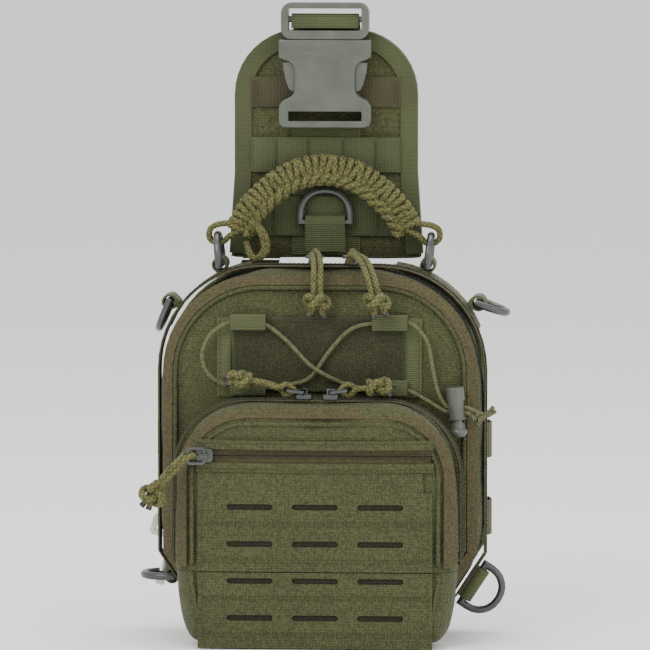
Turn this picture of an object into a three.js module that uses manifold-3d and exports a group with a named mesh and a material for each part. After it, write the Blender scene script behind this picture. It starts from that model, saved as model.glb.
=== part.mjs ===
// A tactical sling bag: a zipped two-shell pack with a front pocket, a padded shoulder strap that stands up
// behind it, a side-release buckle, D-rings, a braided cord handle, zip sliders with cord pulls and a laced
// elastic cord with a cord lock. Millimetres, +Z up, front towards -Y, origin on the base under the pack.
import * as THREE from "three";
import { mergeVertices } from "three/addons/utils/BufferGeometryUtils.js";
import Module from "manifold-3d";

const wasm = await Module();
wasm.setup();

// ---------- driving dimensions ----------
const GAP = 0.3; // between pieces that touch
const WALL = 2.2; // fabric, lining and foam of a pack wall
const WEB = 1.5; // webbing thickness
const WEB_WIDTH = 24; // narrow webbing
const STRAP_WEB = 47; // wide webbing of the strap and its buckle
const CORD_R = 2; // pull and handle cord
const ELASTIC_R = 1.4; // laced elastic cord
const FAR = 400; // larger than the bag: size of cutting blocks

const pack = {
  half: 110,
  height: 252,
  topRadius: 70,
  footHalf: 72,
  footRise: 58,
  rearY: 52,
  zipY: 14,
  frontY: -16,
  edgeRound: 13,
};
const pocket = {
  half: 96,
  height: 165,
  topRadius: 50,
  footHalf: 88,
  footRise: 40,
  depth: 45.7,
  edgeRound: 15,
  zipDepth: 22,
  foldZ: 52,
};
const zip = { tape: 8, thick: 1, endZ: 28 };
const slider = { length: 9, width: 11, height: 3.4 };
const puller = { width: 12, length: 13, bar: 1.8, tunnel: 2.6, post: 3 };
const backPad = { thick: 8, inset: 3 };
const strap = {
  half: 62,
  footHalf: 66,
  length: 157,
  thick: 8.5,
  topRadius: 44,
  footGap: 2.2,
};
const ring = { inner: 26, reach: 15, wire: 5 };
const handle = { ringX: 71, ringY: 35, bandWidth: 19, bandThick: 9, rise: 65, halfSpan: 58 };
const buckle = { width: 63, height: 60, depth: 13, wall: 2.4, slot: 50, frameTop: 25, keyholeZ: 12 };
const molle = {
  pitch: 25,
  columns: 3,
  columnPitch: 44,
  slotLength: 31,
  slotHeight: 3.8,
  thick: 1.2,
  firstZ: 21,
};
const hook = { inner: 5.6, thick: 4, deep: 6, shank: 17, eyeBar: 3.4, gateThick: 2.4 };
const cordLock = { radius: 6.2, length: 22, buttonRadius: 4.4, travel: 4 };

const pocketFaceY = pack.frontY - GAP - pocket.depth;
const padFrontY = pack.rearY + GAP;
const strapY = padFrontY + strap.thick;

// ---------- materials ----------
const finish = (color, roughness, metalness = 0) =>
  new THREE.MeshStandardMaterial({ color, roughness, metalness });
const nylon = finish(0x55583a, 0.9);
const tapeCloth = finish(0x4d4a2c, 0.85);
const webbing = finish(0x5a6234, 0.8);
const cordCloth = finish(0x78742e, 0.75);
const plastic = finish(0x4a4f3f, 0.45);
const metal = finish(0x3d4240, 0.35, 0.6);

const bag = new THREE.Group();

// ---------- solids ----------
// A closed three.js geometry as a manifold solid.
function solid(geometry) {
  const bare = geometry.clone();
  bare.deleteAttribute("normal");
  bare.deleteAttribute("uv");
  const merged = mergeVertices(bare, 1e-4);
  return new wasm.Manifold(
    new wasm.Mesh({
      numProp: 3,
      vertProperties: new Float32Array(merged.attributes.position.array),
      triVerts: new Uint32Array(merged.index.array),
    }),
  );
}

function geometryOf(made) {
  const mesh = made.getMesh();
  return new THREE.BufferGeometry()
    .setAttribute("position", new THREE.BufferAttribute(mesh.vertProperties, 3))
    .setIndex(new THREE.BufferAttribute(mesh.triVerts, 1));
}

const joined = (...parts) => geometryOf(parts.map(solid).reduce((a, b) => a.add(b)));
const cut = (from, ...tools) =>
  geometryOf(tools.map(solid).reduce((a, b) => a.subtract(b), solid(from)));
const kept = (a, b) => geometryOf(solid(a).intersect(solid(b)));

function block(x0, x1, y0, y1, z0, z1) {
  return new THREE.BoxGeometry(x1 - x0, y1 - y0, z1 - z0).translate(
    (x0 + x1) / 2,
    (y0 + y1) / 2,
    (z0 + z1) / 2,
  );
}

// The shape with its curves as straight steps and no point twice, so that it extrudes to a closed solid.
function stepped(shape, curveSegments) {
  const once = (points) =>
    points.filter((p, i) => p.distanceTo(points[(i + 1) % points.length]) > 0.02);
  const { shape: outline, holes } = shape.extractPoints(curveSegments);
  const clean = new THREE.Shape(once(outline));
  clean.holes = holes.map((hole) => new THREE.Path(once(hole)));
  return clean;
}

// A shape drawn in X and Z, filled from y0 to y1. A bevel rounds the -Y edge.
function slab(shape, y0, y1, round = 0, curveSegments = 8) {
  const geometry = new THREE.ExtrudeGeometry(stepped(shape, curveSegments), {
    depth: y1 - y0 - round,
    bevelEnabled: round > 0,
    bevelThickness: round,
    bevelSize: round,
    bevelOffset: -round,
    bevelSegments: 3,
  })
    .rotateX(Math.PI / 2)
    .translate(0, y1, 0);
  // The bevel also rounds the +Y edge, beyond y1, so that end is cut away.
  return round > 0 ? cut(geometry, block(-FAR, FAR, y1, FAR, -FAR, FAR)) : geometry;
}

// A shape drawn in X and Y, filled upwards from z = 0, with its edges rounded.
function plate(shape, thick, round = 0, curveSegments = 6) {
  return new THREE.ExtrudeGeometry(stepped(shape, curveSegments), {
    depth: thick - 2 * round,
    bevelEnabled: round > 0,
    bevelThickness: round,
    bevelSize: round,
    bevelOffset: -round,
    bevelSegments: 1,
  }).translate(0, 0, round);
}

// A round tube of n sides along a curve through points.
function tube(points, radius, steps, sides = 8) {
  const section = new THREE.Shape();
  section.absarc(0, 0, radius, 0, 2 * Math.PI, false);
  return new THREE.ExtrudeGeometry(section, {
    steps,
    extrudePath: new THREE.CatmullRomCurve3(points.map((p) => new THREE.Vector3(...p))),
    curveSegments: sides / 2,
    bevelEnabled: false,
  });
}

// A profile drawn with its x along Y and its y along Z, extruded along X and centred on x = 0.
function alongX(shape, width, curveSegments = 6) {
  const turn = new THREE.Matrix4().makeBasis(
    new THREE.Vector3(0, 1, 0),
    new THREE.Vector3(0, 0, 1),
    new THREE.Vector3(1, 0, 0),
  );
  return new THREE.ExtrudeGeometry(stepped(shape, curveSegments), {
    depth: width,
    bevelEnabled: false,
  })
    .translate(0, 0, -width / 2)
    .applyMatrix4(turn);
}

function roundedRect(width, height, radius, cx = 0, cy = 0) {
  const [w, h] = [width / 2 - radius, height / 2 - radius];
  const shape = new THREE.Shape();
  shape.absarc(cx + w, cy + h, radius, 0, Math.PI / 2);
  shape.absarc(cx - w, cy + h, radius, Math.PI / 2, Math.PI);
  shape.absarc(cx - w, cy - h, radius, Math.PI, 1.5 * Math.PI);
  shape.absarc(cx + w, cy - h, radius, 1.5 * Math.PI, 2 * Math.PI);
  return shape;
}

// An arched front outline with slanted lower corners. inset moves every side inwards; foot is its lowest z.
function arch({ half, height, topRadius, footHalf, footRise }, inset = 0, foot = inset) {
  const [w, h, r] = [half - inset, height - inset, topRadius - inset];
  const slope = (half - footHalf) / footRise;
  const start = footHalf - inset * Math.hypot(1, slope);
  const kneeZ = (w - start) / slope;
  const shape = new THREE.Shape();
  shape.moveTo(-start - slope * foot, foot);
  shape.lineTo(start + slope * foot, foot);
  shape.lineTo(w, kneeZ);
  shape.absarc(w - r, h - r, r, 0, Math.PI / 2, false);
  shape.absarc(-w + r, h - r, r, Math.PI / 2, Math.PI, false);
  shape.lineTo(-w, kneeZ);
  return shape;
}

// The same outline as a band from outset low to outset high, ending at z = endZ.
function archBand(outline, low, high, endZ, y0, y1) {
  return cut(
    slab(arch(outline, -high), y0, y1),
    slab(arch(outline, -low), y0 - 1, y1 + 1),
    block(-FAR, FAR, -FAR, FAR, -FAR, endZ),
  );
}

function node(name, geometry, material, parent = bag) {
  const mesh = new THREE.Mesh(geometry, material);
  mesh.name = name;
  parent.add(mesh);
  return mesh;
}

function groupAt(parent, position, rotation = [0, 0, 0]) {
  const group = new THREE.Group();
  group.position.set(...position);
  group.rotation.set(...rotation);
  parent.add(group);
  return group;
}

const outsideBase = block(-FAR, FAR, -FAR, FAR, -FAR, 0);

// ---------- main compartment: two shells that face each other across the zip ----------
function rearShell() {
  const outer = slab(arch(pack, 0, 0), pack.zipY + GAP / 2, pack.rearY);
  const hollow = slab(arch(pack, WALL), pack.zipY - 5, pack.rearY - WALL);
  node("back_shell", cut(outer, hollow), nylon);
}

function frontShell() {
  const outer = cut(
    slab(arch(pack, 0, -pack.edgeRound), pack.frontY, pack.zipY - GAP / 2, pack.edgeRound),
    outsideBase,
  );
  const hollow = cut(
    slab(
      arch(pack, WALL, -pack.edgeRound),
      pack.frontY + WALL,
      pack.zipY + 5,
      pack.edgeRound - WALL,
    ),
    block(-FAR, FAR, -FAR, FAR, -FAR, WALL),
  );
  node("front_shell", cut(outer, hollow), nylon);
}

function backPanel() {
  const outline = arch(pack, backPad.inset, backPad.inset);
  node(
    "back_panel",
    slab(outline, padFrontY, padFrontY + backPad.thick, 0),
    nylon,
  );
}

function mainZipTapes() {
  const [low, high] = [GAP, GAP + zip.thick];
  const [rearY, frontY] = [pack.zipY + GAP / 2, pack.zipY - GAP / 2];
  node(
    "main_zip_rear_tape",
    archBand(pack, low, high, zip.endZ, rearY, rearY + zip.tape),
    tapeCloth,
  );
  node(
    "main_zip_front_tape",
    archBand(pack, low, high, zip.endZ, frontY - zip.tape, frontY),
    tapeCloth,
  );
}

// ---------- front pocket: a fixed tray, and a front that folds down from foldZ when unzipped ----------
function frontPocket() {
  const rear = pack.frontY - GAP;
  const shell = cut(
    slab(arch(pocket, 0, -pocket.edgeRound), pocketFaceY, rear, pocket.edgeRound),
    slab(
      arch(pocket, WALL, -pocket.edgeRound),
      pocketFaceY + WALL,
      rear + 5,
      pocket.edgeRound - WALL,
    ),
    outsideBase,
  );
  const floor = kept(
    cut(slab(arch(pocket, 0, -pocket.edgeRound), pocketFaceY, rear, pocket.edgeRound), outsideBase),
    block(-FAR, FAR, -FAR, FAR, -1, WALL),
  );
  const whole = joined(shell, floor);
  const zipY = rear - pocket.zipDepth;
  const front = block(-FAR, FAR, -FAR, zipY, pocket.foldZ, FAR);
  const frontRoom = block(-FAR, FAR, -FAR, zipY + GAP, pocket.foldZ - GAP, FAR);
  node("pocket_tray", cut(whole, frontRoom), nylon);
  node("pocket_front", kept(whole, front), nylon);
  node(
    "pocket_zip_tape",
    archBand(pocket, GAP, GAP + zip.thick, pocket.foldZ + 4, zipY - zip.tape / 2, zipY),
    tapeCloth,
  );
}

// The laser-cut face in two pieces, above and below the fold, each with rows of slots for gear straps.
function mollePanel(name, low, high, firstRow, parent = bag) {
  const faceHalf = pocket.half - pocket.edgeRound - 2;
  const panel = new THREE.Shape();
  panel.moveTo(-faceHalf, low);
  panel.lineTo(faceHalf, low);
  panel.lineTo(faceHalf, high);
  panel.lineTo(-faceHalf, high);
  for (let row = firstRow; row < firstRow + 2; row++) {
    for (let column = 0; column < molle.columns; column++) {
      const x = (column - (molle.columns - 1) / 2) * molle.columnPitch;
      const z = molle.firstZ + row * molle.pitch;
      panel.holes.push(
        roundedRect(molle.slotLength, molle.slotHeight, molle.slotHeight / 2 - 0.1, x, z),
      );
    }
  }
  const y = pocketFaceY - GAP;
  node(name, slab(panel, y - molle.thick, y, 0, 1), nylon, parent);
}

function molleFace() {
  const middle = pocket.foldZ;
  mollePanel("molle_panel_lower", GAP, middle - GAP, 0);
  mollePanel("molle_panel_upper", middle + GAP, middle + 2 * molle.pitch + 4, 2);
}

function faceZip() {
  const half = pocket.half - pocket.edgeRound - 3;
  node(
    "face_zip_tape",
    block(-half, half, faceZipY, faceZipY + zip.thick, faceZipZ - zip.tape, faceZipZ + zip.tape),
    tapeCloth,
  );
}

// ---------- zip sliders, pullers and cord pulls ----------
// Local frame: the slider's foot at z = 0, its track along X, and the puller's swing axis along X.
function sliderBody() {
  const foot = plate(roundedRect(slider.length, slider.width, 2), slider.height, 0, 2);
  const top = slider.height - 0.2;
  const size = puller.tunnel + 2.2;
  const post = block(-puller.post / 2, puller.post / 2, -size / 2, size / 2, top, top + size - 0.8);
  const tunnel = block(
    -puller.post,
    puller.post,
    -puller.tunnel / 2,
    puller.tunnel / 2,
    slider.height + 0.2,
    slider.height + 0.2 + puller.tunnel,
  );
  return cut(joined(foot, post), tunnel);
}
const pivotHeight = slider.height + 0.2 + puller.tunnel / 2;

// Local frame: the swing bar on the X axis, the frame reaching to -Y.
function pullerFrame() {
  const centre = -(puller.length - puller.bar) / 2;
  const frame = roundedRect(puller.width, puller.length, 2.4, 0, centre);
  const window = roundedRect(
    puller.width - 2 * puller.bar,
    puller.length - 2 * puller.bar,
    1.2,
    0,
    centre,
  );
  frame.holes.push(window);
  return plate(frame, puller.bar, 0, 2).translate(0, 0, -puller.bar / 2);
}

// A cord looped round the puller's end bar: two legs side by side through centres, the last one the knot.
function pullCord(centres) {
  const barY = -(puller.length - 1.5 * puller.bar);
  const over = CORD_R + puller.bar / 2 + 0.8;
  const leg = (side) => centres.map(([x, y, z]) => [x + side * (CORD_R + 0.25), y, z]);
  const legs = tube(
    [
      ...leg(1).reverse(),
      [1, barY - 2, over],
      [0, barY + over, 0],
      [-1, barY - 2, -over],
      ...leg(-1),
    ],
    CORD_R,
    24,
    8,
  );
  const knot = centres.at(-1);
  return joined(legs, new THREE.SphereGeometry(6, 8, 6).scale(1, 1.1, 0.9).translate(...knot));
}

// Each pull: where its slider sits, the sense of its cross bar and track, the puller's lift and the cord.
const pocketZipY = pack.frontY - GAP - pocket.zipDepth;
const faceZipZ = pocket.foldZ + 79;
const faceZipY = pocketFaceY - GAP - zip.thick;
const tapeTop = GAP + zip.thick + GAP;
const pulls = [
  {
    name: "main_left",
    at: [-5, pack.zipY, pack.height + tapeTop],
    along: [1, 0, 0],
    out: [0, 1, 0],
    centres: [[1, -17, 1], [3, -30, -3], [4, -36, -10], [4, -38, -20], [4, -37, -32]],
  },
  {
    name: "main_right",
    at: [20, pack.zipY, pack.height + tapeTop],
    along: [1, 0, 0],
    out: [0, 1, 0],
    centres: [[2, -17, 1], [8, -31, -2], [13, -40, -9], [17, -45, -20], [20, -46, -32]],
  },
  {
    name: "pocket_left",
    at: [-9, pocketZipY, pocket.height + tapeTop],
    along: [0, -1, 0],
    out: [1, 0, 0],
    centres: [[1, -18, 1], [2, -30, 3], [2, -43, 3]],
  },
  {
    name: "pocket_right",
    at: [9, pocketZipY, pocket.height + tapeTop],
    along: [0, 1, 0],
    out: [-1, 0, 0],
    centres: [[-1, -18, 0], [-2, -24, 0], [-2, -32, 0]],
  },
  {
    name: "face",
    at: [-(pocket.half - pocket.edgeRound - 7), faceZipY - GAP, faceZipZ],
    along: [0, 0, -1],
    out: [1, 0, 0],
    centres: [[5, -17, 1], [14, -26, 2], [25, -34, 2]],
  },
];
const pullerLift = -0.13;

function zipPulls() {
  for (const { name, at, along, out, centres } of pulls) {
    const seat = groupAt(bag, at);
    seat.quaternion.setFromRotationMatrix(frameOf(along, out));
    node(`${name}_slider`, sliderBody(), metal, seat);
    const pivot = groupAt(seat, [0, 0, pivotHeight], [pullerLift, 0, 0]);
    node(`${name}_puller`, pullerFrame(), metal, pivot);
    node(`${name}_pull_cord`, pullCord(centres), cordCloth, pivot);
  }
}

// ---------- patch, lacing loops, elastic cord and cord lock ----------
const patch = { half: 58, low: pocket.height + 14, high: pocket.height + 45.5, thick: 1.6 };
const laceZ = { low: pocket.height + 8, high: pocket.height + 52 };
const laceY = pack.frontY - GAP;
const laceBore = { thick: 1.4, room: 2 * ELASTIC_R + 0.8, height: 10 };
const patchFrontY = laceY - WEB - GAP - patch.thick;
const sleeveFront = patchFrontY - laceBore.room - 2 * laceBore.thick;

// A webbing strip behind the patch, with a sleeve for the elastic cord at each end.
function laceWebbing(name, cx) {
  const outer = laceBore.room + 2 * laceBore.thick;
  const [x0, x1] = [cx - WEB_WIDTH / 2, cx + WEB_WIDTH / 2];
  const strip = block(x0, x1, laceY - WEB, laceY, laceZ.low - 5, laceZ.high + 5);
  const back = laceY - WEB / 2;
  const sleeves = [laceZ.low, laceZ.high].map((z) =>
    block(x0, x1, sleeveFront, back, z - laceBore.height / 2, z + laceBore.height / 2),
  );
  const bores = [laceZ.low, laceZ.high].map((z) =>
    block(
      x0 - 1,
      x1 + 1,
      sleeveFront + laceBore.thick,
      sleeveFront + outer - laceBore.thick,
      z - laceBore.height / 2 + laceBore.thick,
      z + laceBore.height / 2 - laceBore.thick,
    ),
  );
  node(name, cut(joined(strip, ...sleeves), ...bores), webbing);
}

function patchAndLoops() {
  const patchShape = roundedRect(
    2 * patch.half,
    patch.high - patch.low,
    1.5,
    0,
    (patch.low + patch.high) / 2,
  );
  node("loop_patch", slab(patchShape, patchFrontY, patchFrontY + patch.thick, 0, 2), nylon);
  laceWebbing("lace_webbing_left", -48);
  laceWebbing("lace_webbing_right", 48);
}

const laceLineY = sleeveFront + laceBore.thick + laceBore.room / 2;
const lockAt = [pocket.half - 2, laceY - 7.7, pocket.height - 13];

// The elastic cord's route, hand laid: from the lock up through the right loops, across to the left loops,
// and back across to the lock.
const elasticRoute = [
  [108, lockAt[1], 156.5],
  [101, lockAt[1], 160],
  [94, lockAt[1], 160.3],
  [87, lockAt[1], 160.8],
  [81, laceLineY - 1.5, 170],
  [77, laceLineY, 186],
  [73, laceLineY, 205],
  [62, laceLineY, 217],
  [50, laceLineY, 217],
  [38, laceLineY, 217],
  [22, laceLineY, 213],
  [8, laceLineY, 199],
  [-6, laceLineY, 180],
  [-20, laceLineY, 175],
  [-34, laceLineY, 173],
  [-46, laceLineY, 173],
  [-60, laceLineY, 173.5],
  [-74, laceLineY, 181],
  [-79, laceLineY, 194],
  [-74, laceLineY, 208],
  [-62, laceLineY, 216.5],
  [-50, laceLineY, 217],
  [-37, laceLineY, 216],
  [-22, laceLineY, 205],
  [-5, laceLineY - 3.2, 188],
  [12, laceLineY, 178],
  [26, laceLineY, 173.5],
  [36, laceLineY, 173],
  [46, laceLineY, 173],
  [60, laceLineY, 171.5],
  [73, laceLineY, 165],
  [85, lockAt[1], 158],
  [94, lockAt[1], 157],
  [101, lockAt[1], 156.6],
  [106, lockAt[1] - 0.5, 150],
];

// Local frame of the lock: its length along Z, the cords crossing it along X.
const lockTilt = -0.1;
const lockHole = { width: 11, height: 6, z: 7.2 };

function laceAndLock() {
  node("elastic_cord", tube(elasticRoute, ELASTIC_R, 78, 8), webbing);
  const seat = groupAt(bag, lockAt, [0, lockTilt, 0]);
  const barrel = new THREE.CylinderGeometry(cordLock.radius, cordLock.radius, cordLock.length, 16)
    .rotateX(Math.PI / 2)
    .translate(0, 0, cordLock.length / 2);
  const bore = new THREE.CylinderGeometry(
    cordLock.buttonRadius + GAP,
    cordLock.buttonRadius + GAP,
    cordLock.length - 1.6,
    16,
  )
    .rotateX(Math.PI / 2)
    .translate(0, 0, (cordLock.length - 1.6) / 2 - 0.01);
  const crossing = block(
    -20,
    20,
    -lockHole.height / 2,
    lockHole.height / 2,
    lockHole.z - lockHole.width / 2,
    lockHole.z + lockHole.width / 2,
  );
  node("cord_lock_barrel", cut(barrel, bore, crossing), plastic, seat);
  const stem = new THREE.CylinderGeometry(
    cordLock.buttonRadius,
    cordLock.buttonRadius,
    cordLock.length - 6,
    16,
  )
    .rotateX(Math.PI / 2)
    .translate(0, 0, (cordLock.length - 6) / 2 - cordLock.travel - 2);
  const knob = new THREE.SphereGeometry(cordLock.radius - 0.4, 14, 8)
    .scale(1, 1, 0.7)
    .translate(0, 0, -cordLock.travel - 4.4);
  const slot = block(
    -20,
    20,
    -lockHole.height / 2,
    lockHole.height / 2,
    lockHole.z - lockHole.width / 2 - cordLock.travel,
    lockHole.z + lockHole.width / 2,
  );
  node("cord_lock_button", cut(joined(stem, knob), slot), plastic, seat);
}

// ---------- D-rings and their webbing tabs ----------
// Local frame: the bar's centre line on X, the arch reaching to +Y, the wire centred on z = 0.
function dRing(inner = ring.inner, reach = ring.reach, wire = ring.wire) {
  const half = inner / 2 + wire;
  const top = wire / 2 + reach + wire;
  const r = Math.min(half, top) - 1;
  const outline = (grow, foot) => {
    const [w, t] = [half - grow, top - grow];
    const shape = new THREE.Shape();
    const corner = Math.max(r - grow, 2);
    shape.moveTo(-w, foot);
    shape.lineTo(w, foot);
    shape.absarc(w - corner, t - corner, corner, 0, Math.PI / 2, false);
    shape.absarc(-w + corner, t - corner, corner, Math.PI / 2, Math.PI, false);
    return shape;
  };
  const shape = outline(0, -wire / 2);
  shape.holes.push(outline(wire, wire / 2));
  return plate(shape, wire, wire * 0.28, 3).translate(0, 0, -wire / 2);
}

// A folded webbing tab round a ring's bar. Local frame as dRing: the tab reaches to -Y by length.
function ringTab(length, wire = ring.wire, width = WEB_WIDTH) {
  const radius = wire * 0.71 + GAP;
  const outer = radius + WEB;
  const shape = new THREE.Shape();
  shape.absarc(0, 0, outer, -Math.PI / 6, Math.PI + Math.PI / 6, false);
  shape.lineTo(-WEB - 0.2, -length);
  shape.lineTo(WEB + 0.2, -length);
  shape.holes.push(new THREE.Path().absarc(0, 0, radius, 0, 2 * Math.PI, true));
  return new THREE.ExtrudeGeometry(shape, { depth: width, bevelEnabled: false, curveSegments: 8 })
    .translate(0, 0, -width / 2)
    .rotateY(Math.PI / 2);
}

// Each ring seat: where its bar is, how its frame is turned, and how long its tab is.
const tabOuter = ring.wire * 0.71 + GAP + WEB;
const topSeat = tabOuter + 2.15;
const upperZ = pack.height - 25.5;
const upperX = sideAt(upperZ) + tabOuter + 6.12;
const leftZ = 38;
const lowerLeft = [-sideAt(leftZ + tabOuter) - 3.79, pack.rearY - 12, leftZ];
// The lower right ring stands square to the pack's slanted foot.
const slant = [pack.half - pack.footHalf, pack.footRise];
const slantLength = Math.hypot(...slant);
const [outX, outZ] = [slant[1] / slantLength, -slant[0] / slantLength];
const rightZ = 36.89;
const rightReach = tabOuter + 1.38;
const lowerRight = [
  sideAt(rightZ) + rightReach * outX,
  pack.rearY - 12,
  rightZ + rightReach * outZ,
];
const ringSeats = [
  {
    name: "handle_ring_left",
    at: [-handle.ringX, handle.ringY, topAt(handle.ringX) + topSeat],
    along: [0, 1, 0],
    out: [-0.1, 0, 1],
    tab: topSeat - 1.5,
  },
  {
    name: "handle_ring_right",
    at: [handle.ringX, handle.ringY, topAt(handle.ringX) + topSeat],
    along: [0, 1, 0],
    out: [0.1, 0, 1],
    tab: topSeat - 1.5,
  },
  {
    name: "upper_ring_left",
    at: [-upperX, pack.rearY - 15, upperZ],
    along: [0, 1, 0],
    out: [-0.42, 0, -1],
    tabOut: [-1, 0, 0.25],
    tab: tabOuter + 1.65,
  },
  {
    name: "upper_ring_right",
    at: [upperX, pack.rearY - 15, upperZ],
    along: [0, 1, 0],
    out: [1, 0, -0.35],
    tabOut: [1, 0, 0.1],
    tab: tabOuter + 1.65,
  },
  {
    name: "lower_ring_left",
    at: lowerLeft,
    along: [0, 1, 0],
    out: [-1, 0, 0],
    tab: -lowerLeft[0] - sideAt(leftZ) - 1.8,
  },
  {
    name: "lower_ring_right",
    at: lowerRight,
    along: [-outZ, 0, outX],
    out: [outX, 0, outZ],
    tab: tabOuter + 0.65,
  },
];

// Height of the pack's outline at x, on its rounded top.
function topAt(x) {
  const reach = Math.max(Math.abs(x) - (pack.half - pack.topRadius), 0);
  return pack.height - pack.topRadius + Math.sqrt(pack.topRadius ** 2 - reach ** 2);
}

// Half width of the pack's outline at height z.
function sideAt(z) {
  const rise = Math.max(z - (pack.height - pack.topRadius), 0);
  const slant = (pack.half - pack.footHalf) * Math.max(1 - z / pack.footRise, 0);
  return pack.half - pack.topRadius + Math.sqrt(pack.topRadius ** 2 - rise ** 2) - slant;
}

function frameOf(along, out) {
  const x = new THREE.Vector3(...along).normalize();
  const y = new THREE.Vector3(...out);
  y.addScaledVector(x, -y.dot(x)).normalize();
  return new THREE.Matrix4().makeBasis(x, y, new THREE.Vector3().crossVectors(x, y));
}

function rings() {
  for (const { name, at, along, out, tab, tabOut } of ringSeats) {
    const seat = groupAt(bag, at);
    const body = groupAt(seat, [0, 0, 0]);
    body.quaternion.setFromRotationMatrix(frameOf(along, out));
    node(name, dRing(), name === "lower_ring_left" ? metal : plastic, body);
    const tabFrame = groupAt(seat, [0, 0, 0]);
    tabFrame.quaternion.setFromRotationMatrix(frameOf(along, tabOut ?? out));
    node(name.replace("ring", "tab"), ringTab(tab), webbing, tabFrame);
  }
}

// ---------- braided handle between the two top rings ----------
function braidedHandle() {
  const crown = topAt(handle.ringX) + topSeat + ring.reach + ring.wire;
  const spread = (ring.wire / 2 + CORD_R) / 4.5; // of the loop round the ring, 1 for a 5 mm wire
  const crownX = handle.ringX + 2;
  const crest = pack.height + handle.rise;
  const path = [
    [-handle.halfSpan, crest - 42],
    [-handle.halfSpan * 0.8, crest - 24],
    [-handle.halfSpan * 0.42, crest - 6],
    [0, crest],
    [handle.halfSpan * 0.42, crest - 6],
    [handle.halfSpan * 0.8, crest - 24],
    [handle.halfSpan, crest - 42],
  ];
  const section = roundedRect(handle.bandThick, handle.bandWidth, 3);
  const band = new THREE.ExtrudeGeometry(section, {
    steps: 20,
    curveSegments: 2,
    bevelEnabled: false,
    extrudePath: new THREE.CatmullRomCurve3(
      path.map(([x, z]) => new THREE.Vector3(x, handle.ringY, z)),
    ),
  });
  const loops = [-1, 1].map((side) =>
    tube(
      [
        [side * (handle.halfSpan - 2), handle.ringY, crest - 41],
        [side * (crownX - 8), handle.ringY, crown - 1],
        [side * (crownX - 4.6 * spread), handle.ringY, crown - 4.4 * spread],
        [side * (crownX + 0.5), handle.ringY, crown - 5.6 * spread],
        [side * (crownX + 5.4 * spread), handle.ringY, crown - 2.6 * spread],
        [side * (crownX + 5.2 * spread), handle.ringY, crown + 3.6 * spread],
        [side * crownX, handle.ringY, crown + 6.8 * spread],
        [side * (crownX - 8), handle.ringY, crown + 8],
        [side * (handle.halfSpan - 2), handle.ringY, crest - 35],
      ],
      CORD_R,
      20,
      8,
    ),
  );
  node("carry_handle", joined(band, ...loops), cordCloth);
}

// ---------- shoulder strap: padded panel, webbing, ring and buckle ----------
const strapFootZ = pack.height + strap.footGap;
const strapTopZ = strapFootZ + strap.length;
const webFrontY = padFrontY - GAP; // front face of the panel, where the webbing lies
const buckleZ = strapTopZ - buckle.height - 6;
const tailLength = 75;

function strapPanel() {
  const [w, r] = [strap.half, strap.topRadius];
  const shape = new THREE.Shape();
  shape.moveTo(-strap.footHalf, strapFootZ);
  shape.lineTo(strap.footHalf, strapFootZ);
  shape.lineTo(w, strapFootZ + 60);
  shape.absarc(w - r, strapTopZ - r, r, 0, Math.PI / 2, false);
  shape.absarc(-w + r, strapTopZ - r, r, Math.PI / 2, Math.PI, false);
  shape.lineTo(-w, strapFootZ + 60);
  node("strap_panel", slab(shape, padFrontY, strapY, 0), nylon);
  const low = strapFootZ + 3;
  node(
    "strap_webbing_front",
    block(-STRAP_WEB / 2, STRAP_WEB / 2, webFrontY - WEB, webFrontY, low, buckleZ + 2.5),
    webbing,
  );
}

// Rows of webbing across the strap, over the wide webbing, for hanging gear.
const rowThick = 1.2;
const rowBackY = webFrontY - WEB - GAP;

function strapRow(name, low, high, half) {
  node(name, block(-half, half, rowBackY - rowThick, rowBackY, low, high), webbing);
}

function strapRing() {
  const wire = 4.5;
  const room = wire * 0.71 + GAP + WEB + 0.19;
  const seat = groupAt(bag, [0, rowBackY - rowThick - GAP - room, strapFootZ + 26]);
  const frame = groupAt(seat, [0, 0, 0]);
  frame.quaternion.setFromRotationMatrix(frameOf([1, 0, 0], [0, 0, 1]));
  node("strap_ring", dRing(29, 17, wire), metal, frame);
  node("strap_ring_tab", ringTab(20, wire, 27), webbing, frame);
}

// Outline of the buckle's socket body: a bar below, finger windows at the sides.
function socketOutline() {
  const [w, h] = [buckle.width / 2, buckle.height];
  const shape = new THREE.Shape();
  shape.moveTo(-w + 5, 0);
  shape.lineTo(w - 5, 0);
  shape.quadraticCurveTo(w, 0, w, 6);
  shape.lineTo(w, 13);
  shape.quadraticCurveTo(w, 18, w - 6, 20);
  shape.quadraticCurveTo(w - 11, 22, w - 11, 27);
  shape.lineTo(w - 11, 38);
  shape.quadraticCurveTo(w - 11, 45, w - 4, 46);
  shape.lineTo(w, 48);
  shape.lineTo(w, h);
  shape.lineTo(-w, h);
  shape.lineTo(-w, 48);
  shape.lineTo(-w + 4, 46);
  shape.quadraticCurveTo(-w + 11, 45, -w + 11, 38);
  shape.lineTo(-w + 11, 27);
  shape.quadraticCurveTo(-w + 11, 22, -w + 6, 20);
  shape.quadraticCurveTo(-w, 18, -w, 13);
  shape.lineTo(-w, 6);
  shape.quadraticCurveTo(-w, 0, -w + 5, 0);
  return shape;
}

// Right-hand prong of the plug, in the buckle's frame; side -1 mirrors it.
function prongShape(side) {
  const point = (x, z) => [side * x, z];
  const shape = new THREE.Shape();
  const root = buckle.height - 1.5;
  const w = buckle.width / 2;
  const tip = w - buckle.wall - GAP;
  shape.moveTo(...point(w - 15.5, root));
  shape.lineTo(...point(w - 10.5, root));
  shape.lineTo(...point(w - 8, 45));
  shape.lineTo(...point(tip, 44.5));
  shape.quadraticCurveTo(...point(tip, 36), ...point(w - 6.5, 27));
  shape.quadraticCurveTo(...point(w - 9, 23), ...point(w - 11.5, 25));
  shape.lineTo(...point(w - 12.9, 45));
  shape.closePath();
  return shape;
}

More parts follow.
